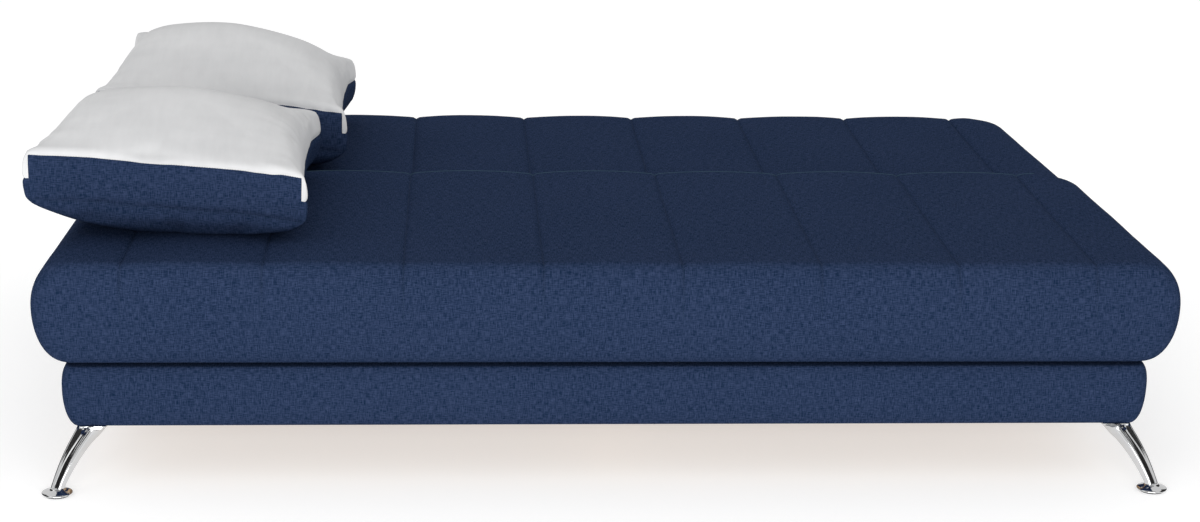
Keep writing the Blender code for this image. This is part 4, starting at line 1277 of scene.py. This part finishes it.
# %% Geometry nodes toolkit
def new_tree(name, inputs):
    """An empty geometry tree with named number inputs, as the tree, its wires and identifiers."""
    tree = bpy.data.node_groups.new(name, "GeometryNodeTree")
    tree.interface.new_socket(name="Geometry", in_out="INPUT", socket_type="NodeSocketGeometry")
    tree.interface.new_socket(name="Geometry", in_out="OUTPUT", socket_type="NodeSocketGeometry")
    identifiers = {}
    for label in inputs:
        made = tree.interface.new_socket(name=label, in_out="INPUT", socket_type="NodeSocketFloat")
        identifiers[label] = made.identifier
    source = tree.nodes.new("NodeGroupInput")
    wires = {socket.name: Wire(tree, socket) for socket in source.outputs if socket.name}
    return tree, wires, identifiers


def close_tree(tree, geometry, material):
    """Realize the instances, give them their material and end the tree."""
    real = add_node(tree, "GeometryNodeRealizeInstances", (), {0: geometry})
    sockets = {"Geometry": real, "Material": material}
    painted = add_node(tree, "GeometryNodeSetMaterial", (), sockets)
    target = tree.nodes.new("NodeGroupOutput")
    tree.links.new(painted.socket, target.inputs[0])


def lay_on_points(tree, points, shape, facing, width, height, material):
    """Put a shape on every point, turned to face its way and sized, and end the tree."""
    turn_sockets = {"Vector": facing}
    turn = add_node(tree, "FunctionNodeAlignRotationToVector", {"axis": "Z"}, turn_sockets)
    size = add_node(tree, "ShaderNodeCombineXYZ", (), {0: width, 1: width, 2: height})
    sockets = {"Points": points, "Instance": shape, "Rotation": turn, "Scale": size}
    close_tree(tree, add_node(tree, "GeometryNodeInstanceOnPoints", (), sockets), material)


def line_tree(name, kind, shape, material):
    """A tree that lays a shape along a line, one at every pitch."""
    tree, wires, identifiers = new_tree(name, ("Pitch", "Length", "Thickness"))
    curve = add_node(tree, "GeometryNodeMeshToCurve", (), {0: wires["Geometry"]})
    sockets = {0: curve, "Length": wires["Pitch"]}
    points = add_node(tree, "GeometryNodeCurveToPoints", {"mode": "LENGTH"}, sockets)
    tangent = Wire(tree, points.socket.node.outputs["Tangent"])
    laid = add_node(tree, kind, (), shape)
    lay_on_points(tree, points, laid, tangent, wires["Thickness"], wires["Length"], material)
    return tree, identifiers


def grow(name, guide, grower, values, body):
    """Run a tree on a guide mesh and keep what it makes as a plain piece on one body."""
    tree, identifiers = grower
    made = bpy.data.objects.new(name, guide)
    bpy.context.scene.collection.objects.link(made)
    modifier = made.modifiers.new("grow", "NODES")
    modifier.node_group = tree
    for label, value in values.items():
        modifier[identifiers[label]] = value
    apply_modifiers(made)
    made.data.shade_smooth()
    made.data.set_sharp_from_angle(angle=math.radians(40.0))
    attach(made, body)
    return made


def line_guide(paths):
    """A guide mesh of open or closed lines."""
    points, edges = [], []
    for path in paths:
        start = len(points)
        points += [tuple(p) for p in path]
        edges += [(start + i, start + i + 1) for i in range(len(path) - 1)]
    mesh = bpy.data.meshes.new("guide")
    mesh.from_pydata(points, edges, [])
    return mesh


def point_guide(places):
    """A guide mesh of loose points, each with the way that it faces."""
    mesh = bpy.data.meshes.new("guide")
    mesh.from_pydata([tuple(place) for place, facing in places], [], [])
    mark = mesh.attributes.new("facing", "FLOAT_VECTOR", "POINT")
    ways = np.array([facing for place, facing in places], np.float32)
    mark.data.foreach_set("vector", ways.ravel())
    return mesh


print("geometry nodes toolkit ready")

# %% [markdown]
# ## Seam thread
# The quilting seams are sewn with navy thread. A stitch is a thin bead laid along the seam, and the
# tree drops one at every pitch. The guide lines are read from the finished covers, so the thread
# lies in its valley. A heavier cord edges the seat where it meets the back. Its lighter navy is a
# painted highlight along the seat's rear edge.

# %% Seam thread
BEAD = {"Segments": 6, "Rings": 4, "Radius": 0.5}
STITCH = {"Pitch": 0.0056, "Length": 0.0046, "Thickness": 0.0011}
CORD = {"Pitch": 0.0035, "Length": 0.0045, "Thickness": 0.0022}
ON_SEAM = 0.0004          # a point this near a seam's x lies on it
SEAM_ENDS_AT = 0.45       # of the cover's height, where a seam fades out on the face


def stitch_tree(material):
    """Beads of thread along a line."""
    return line_tree("seam_stitches", "GeometryNodeMeshUVSphere", BEAD, material)


def seam_line(item, x, low, high, towards):
    """Points of the cover along one seam, from its joint end over the top and down the face."""
    points = points_of(item)
    above = points[:, 2] > low.z + SEAM_ENDS_AT * (high.z - low.z)
    near = points[(np.abs(points[:, 0] - x) < ON_SEAM) & above]
    middle_y = (low.y + high.y) / 2
    turn = np.arctan2(near[:, 2] - low.z, towards * (near[:, 1] - middle_y))
    return near[np.argsort(turn)]


stitches = stitch_tree(navy_thread)
pale_stitches = stitch_tree(pale_thread)
for name, cover, towards in (("seat", seat_cover, -1), ("back", back_cover, 1)):
    low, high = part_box(f"{name}_padding")
    lines = [seam_line(cover, x, low, high, towards) for x in SEAM_X]
    sewn = grow(f"{name}_seam_thread", line_guide(lines), stitches, STITCH, name)
    print(sewn.name, len(sewn.data.polygons), "faces on", len(lines), "seams")
# The cord's lighter shade is a painted highlight along the seat's rear edge.
corded = stitch_tree(highlight_cord)
cord = grow("seat_joint_cord", line_guide([seat_crest]), corded, CORD, "seat")
print(cord.name, len(cord.data.polygons), "faces")

# %% [markdown]
# ## Pillow seam thread
# The pillows are sewn with a finer stitch: pale thread on the edge of the pale top, and navy thread
# round the navy panels. Their guide lines were kept when the seams were sunk.

# %% Pillow seam thread
PILLOW_STITCH = {"Pitch": 0.0044, "Length": 0.0036, "Thickness": 0.0010}


def sew_pillow(name, seams, shade, pale, grower):
    """Stitches of one shade along a pillow's seams."""
    guide = line_guide([line for line, is_pale in seams if is_pale == pale])
    made = grow(f"{name}_{shade}_thread", guide, grower, PILLOW_STITCH, name)
    print(made.name, len(made.data.polygons), "faces")


for name, seams in (("pillow_front", front_seams), ("pillow_rear", rear_seams)):
    sew_pillow(name, seams, "navy", False, stitches)
    sew_pillow(name, seams, "pale", True, pale_stitches)

# %% [markdown]
# ## Screws
# Pan-head screws with a cross recess hold the leg plates, the hinge brackets and the arms. The head
# is made once, by taking two small bars out of a short cylinder, and is then put on every point.


# %% Screws
SCREW = {"Diameter": 0.0085, "Height": 0.0021}
HEAD = {"Vertices": 24, "Side Segments": 1, "Radius Top": 0.40, "Radius Bottom": 0.5, "Depth": 1.0}
RECESS_BARS = ((0.62, 0.13, 1.1), (0.13, 0.62, 1.1))      # shares of the head's size
PROUD = 0.0003            # how far a head stands off its steel
PLATE_PROUD = 0.0002
PLATE_SCREW_IN = 0.007    # from the plate's two open sides
ARM_SCREWS = (0.10, 0.50, 0.90)       # shares of the strap's length
STRAP_START = 0.135       # from the hinge line to where an arm's strap begins
BRACKET_SCREW_IN = 0.014
BRACKET_SCREW_UP = (0.012, 0.034)


def screw_tree(material):
    """Cross-recess heads on points that know which way they face."""
    tree, wires, identifiers = new_tree("screw_heads", ("Diameter", "Height"))
    head = add_node(tree, "GeometryNodeMeshCone", (), HEAD)
    cut = tree.nodes.new("GeometryNodeMeshBoolean")
    cut.operation = "DIFFERENCE"
    connect(tree, head, cut.inputs["Mesh 1"])
    for size in RECESS_BARS:
        bar = add_node(tree, "GeometryNodeMeshCube", (), {"Size": size})
        moved = {"Geometry": bar, "Translation": (0.0, 0.0, 1.0)}
        connect(tree, add_node(tree, "GeometryNodeTransform", (), moved), cut.inputs["Mesh 2"])
    shaped = Wire(tree, cut.outputs[0])
    settings = {"data_type": "FLOAT_VECTOR"}
    facing = add_node(tree, "GeometryNodeInputNamedAttribute", settings, {"Name": "facing"})
    width, height = wires["Diameter"], wires["Height"]
    lay_on_points(tree, wires["Geometry"], shaped, facing, width, height, material)
    return tree, identifiers


def plate_screws():
    """A screw up through the corner of each leg plate that its horn leaves open."""
    places = []
    for word, side, towards in LEGS:
        low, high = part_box(f"leg_plate_{word}")
        x = low.x + PLATE_SCREW_IN if side > 0 else high.x - PLATE_SCREW_IN
        y = low.y + PLATE_SCREW_IN if towards > 0 else high.y - PLATE_SCREW_IN
        places.append(((x, y, low.z - PLATE_PROUD), (0.0, 0.0, -1.0)))
    return places


def arm_screws(name):
    """Screws through each arm's strap into its rail."""
    places = []
    for word, side in SIDES:
        low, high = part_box(f"{name}_arm_{word}")
        rail_low, rail_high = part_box(f"{name}_{word}_rail")
        face = high.x if side > 0 else low.x
        z = (rail_low.z + rail_high.z) / 2
        if name == "seat":
            start, end = low.y, HINGE_Y - STRAP_START
        else:
            start, end = HINGE_Y + STRAP_START, high.y
        for share in ARM_SCREWS:
            y = start + (end - start) * share
            places.append(((face + side * PROUD, y, z), (float(side), 0.0, 0.0)))
    return places


def bracket_screws():
    """Screws through each bracket's foot into the end board."""
    places = []
    for word, side in SIDES:
        low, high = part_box(f"hinge_bracket_{word}")
        face = low.x if side > 0 else high.x
        for y in (low.y + BRACKET_SCREW_IN, HINGE_Y, high.y - BRACKET_SCREW_IN):
            for up in BRACKET_SCREW_UP:
                place = (face - side * PROUD, y, low.z + up)
                places.append((place, (-float(side), 0.0, 0.0)))
    return places


screws = screw_tree(zinc_plate)
screw_places = {
    "base": plate_screws() + bracket_screws(),
    "seat": arm_screws("seat"),
    "back": arm_screws("back"),
}
for name, places in screw_places.items():
    fixed = grow(f"{name}_screws", point_guide(places), screws, SCREW, name)
    print(fixed.name, len(places), "screws")

# %% [markdown]
# ## Dust cloths and staples
# A black lining is stapled under each panel. It is a real sheet, cut to the frame and pulled taut,
# so it only sags a little between its staples. The staples follow its hem, one every few
# centimetres.


# %% Dust cloths and staples
LINING_GRID = (90, 30)    # columns and rows
LINING_THICK = 0.0006
LINING_SAG = 0.0012
PUCKER, PUCKER_REACH = 0.0003, 0.02   # height, and how far in from the hem it fades
STAPLE = {"Pitch": 0.045, "Length": 0.0100, "Thickness": 0.0008}
STAPLE_WIRE = {"Vertices": 8, "Radius": 0.5, "Depth": 1.0}
HEM = 0.008
STAPLE_DOWN = 0.0013      # from the lining's CAD top to the staples


def dust_cloth(name):
    """The lining under one panel, with the sag of a stapled sheet."""
    low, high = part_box(f"{name}_dust_cloth")
    wide, long = high.x - low.x, high.y - low.y
    columns, rows = LINING_GRID
    ends_x, ends_y = np.linspace(low.x, high.x, columns), np.linspace(low.y, high.y, rows)
    grid_x, grid_y = np.meshgrid(ends_x, ends_y)
    x, y = grid_x.ravel(), grid_y.ravel()
    u, v = (x - low.x) / wide, (y - low.y) / long
    hang = (4 * u * (1 - u)) ** 0.7 * (4 * v * (1 - v)) * LINING_SAG
    waves = np.sin(u * wide / STAPLE["Pitch"] * 2 * math.pi)
    pucker = waves * np.exp(-np.minimum(v, 1 - v) * long / PUCKER_REACH) * PUCKER
    z = high.z - 0.0002 - hang + pucker * (v > 0.001) * (v < 0.999) - PUCKER
    top = np.column_stack((x, y, z))
    points = np.vstack((top, top - np.array((0.0, 0.0, LINING_THICK))))
    total = rows * columns
    faces = grid_faces(rows, columns, 0, True) + grid_faces(rows, columns, total, False)
    ring = border_of(rows, columns)
    faces += ring_faces(ring, [total + i for i in ring])
    made = skin(f"{name}_lining", points, faces, black_lining)
    face_outwards(made)
    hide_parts(f"{name}_dust_cloth")
    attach(made, name)
    print(f"{made.name} {wide:.3f} x {long:.3f} m, lowest {z.min() - LINING_THICK:.4f}")


def staple_lines(name):
    """The four lines that the staples of one lining follow."""
    low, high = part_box(f"{name}_dust_cloth")
    x0, x1, y0, y1 = low.x + HEM, high.x - HEM, low.y + HEM, high.y - HEM
    z = high.z - STAPLE_DOWN
    lines = [[(x0, y, z), (x1, y, z)] for y in (y0, y1)]
    return lines + [[(x, y0, z), (x, y1, z)] for x in (x0, x1)]


staples = line_tree("staples", "GeometryNodeMeshCylinder", STAPLE_WIRE, zinc_plate)
for name in ("seat", "back"):
    dust_cloth(name)
    lines = staple_lines(name)
    shot = grow(f"{name}_staples", line_guide(lines), staples, STAPLE, name)
    print(shot.name, len(shot.data.polygons), "faces")

# %% [markdown]
# ## Finishes of the CAD pieces
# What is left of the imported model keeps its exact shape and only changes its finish. Boards and
# rails take the timber whose grain runs the way that they lie.

# %% Finishes of the CAD pieces
GRAIN_Y = ("left_board", "right_board", "left_rail", "right_rail", "cross_rail", "centre_rail")


def finish_of(name):
    """The finish for a CAD node, from its name."""
    if name.endswith(("_rail", "_board")):
        return timber_y if name.endswith(GRAIN_Y) else timber_x
    if name.startswith("leg_glide"):
        return black_plastic
    if name.startswith("bumper"):
        return black_rubber
    if name.startswith("leg_"):
        return polished_chrome
    if name == "box_floor_panel":
        return hardboard_brown
    return zinc_plate


dressed = 0
for name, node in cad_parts.items():
    if node.hide_render:
        continue
    node.data.materials.clear()
    node.data.materials.append(finish_of(name))
    dressed += 1
print(dressed, "CAD pieces dressed")

# %% [markdown]
# ## Floor and light
# The floor is plain and pale. A large soft light stands in front, another hangs over the left, and
# the world fills in evenly, so that the front face is brighter than the top. Three dark cards, one
# at each end and one overhead, show only in the chrome, which needs something dark to mirror.

# %% Floor and light
FLOOR_GREY, FLOOR_GLOW = (0.66, 0.66, 0.66), 0.47
FLOOR_HALF = 20.0
WORLD_STRENGTH = 0.80
CARD_X = 1.75             # how far out the two end cards stand
CARD_FRONT, CARD_REAR, CARD_HEIGHT = -1.15, 0.1, 1.1
TOP_CARD_HALF, TOP_CARD_FRONT, TOP_CARD_REAR, TOP_CARD_Z = 1.6, -2.3, -0.95, 1.9
scene = bpy.context.scene
scene.view_settings.view_transform = "Standard"


def stage_floor():
    """A wide pale floor."""
    paint = Finish("studio_floor", Metallic=0.0, Roughness=0.85)
    paint.set({"Base Color": FLOOR_GREY, "Emission Color": (1.0, 1.0, 1.0)})
    paint.set({"Emission Strength": FLOOR_GLOW})
    half = FLOOR_HALF
    corners = [(-half, -half, 0.0), (half, -half, 0.0), (half, half, 0.0), (-half, half, 0.0)]
    floor = skin("studio_floor", corners, [(0, 1, 2, 3)], paint.material)
    return floor


def soft_light(name, place, aim, size, power):
    """A square area light that points at a place."""
    lamp = bpy.data.lights.new(name, "AREA")
    lamp.shape = "RECTANGLE"
    lamp.size, lamp.size_y = size
    lamp.energy = power
    made = bpy.data.objects.new(name, lamp)
    bpy.context.scene.collection.objects.link(made)
    made.location = place
    ahead = Vector(aim) - Vector(place)
    made.rotation_euler = ahead.to_track_quat("-Z", "Y").to_euler()
    return made


def dark_card(name, corners):
    """A dark card that only mirrors see."""
    paint = Finish(name, Metallic=0.0, Roughness=0.9)
    paint.set({"Base Color": (0.01, 0.01, 0.01)})
    card = skin(name, corners, [(0, 1, 2, 3)], paint.material)
    card.visible_camera = card.visible_diffuse = card.visible_shadow = False
    return card


world = bpy.data.worlds.new("studio")
world.use_nodes = True
scene.world = world
backdrop = world.node_tree.nodes["Background"]
backdrop.inputs["Color"].default_value = (1.0, 1.0, 1.0, 1.0)
backdrop.inputs["Strength"].default_value = WORLD_STRENGTH
stage_floor()
soft_light("front_light", (-0.4, -5.4, 1.35), (0.0, -0.6, 0.30), (5.0, 1.8), 165.0)
soft_light("left_light", (-3.6, -1.6, 3.0), (0.0, 0.0, 0.3), (2.4, 2.4), 10.0)
for word, side in SIDES:
    x = side * CARD_X
    foot = [(x, CARD_FRONT, 0.0), (x, CARD_REAR, 0.0)]
    dark_card(f"{word}_card", foot + [(x, CARD_REAR, CARD_HEIGHT), (x, CARD_FRONT, CARD_HEIGHT)])
x, z = TOP_CARD_HALF, TOP_CARD_Z
front, rear = TOP_CARD_FRONT, TOP_CARD_REAR
dark_card("top_card", [(-x, front, z), (x, front, z), (x, rear, z), (-x, rear, z)])
print("floor, two lights and three cards")
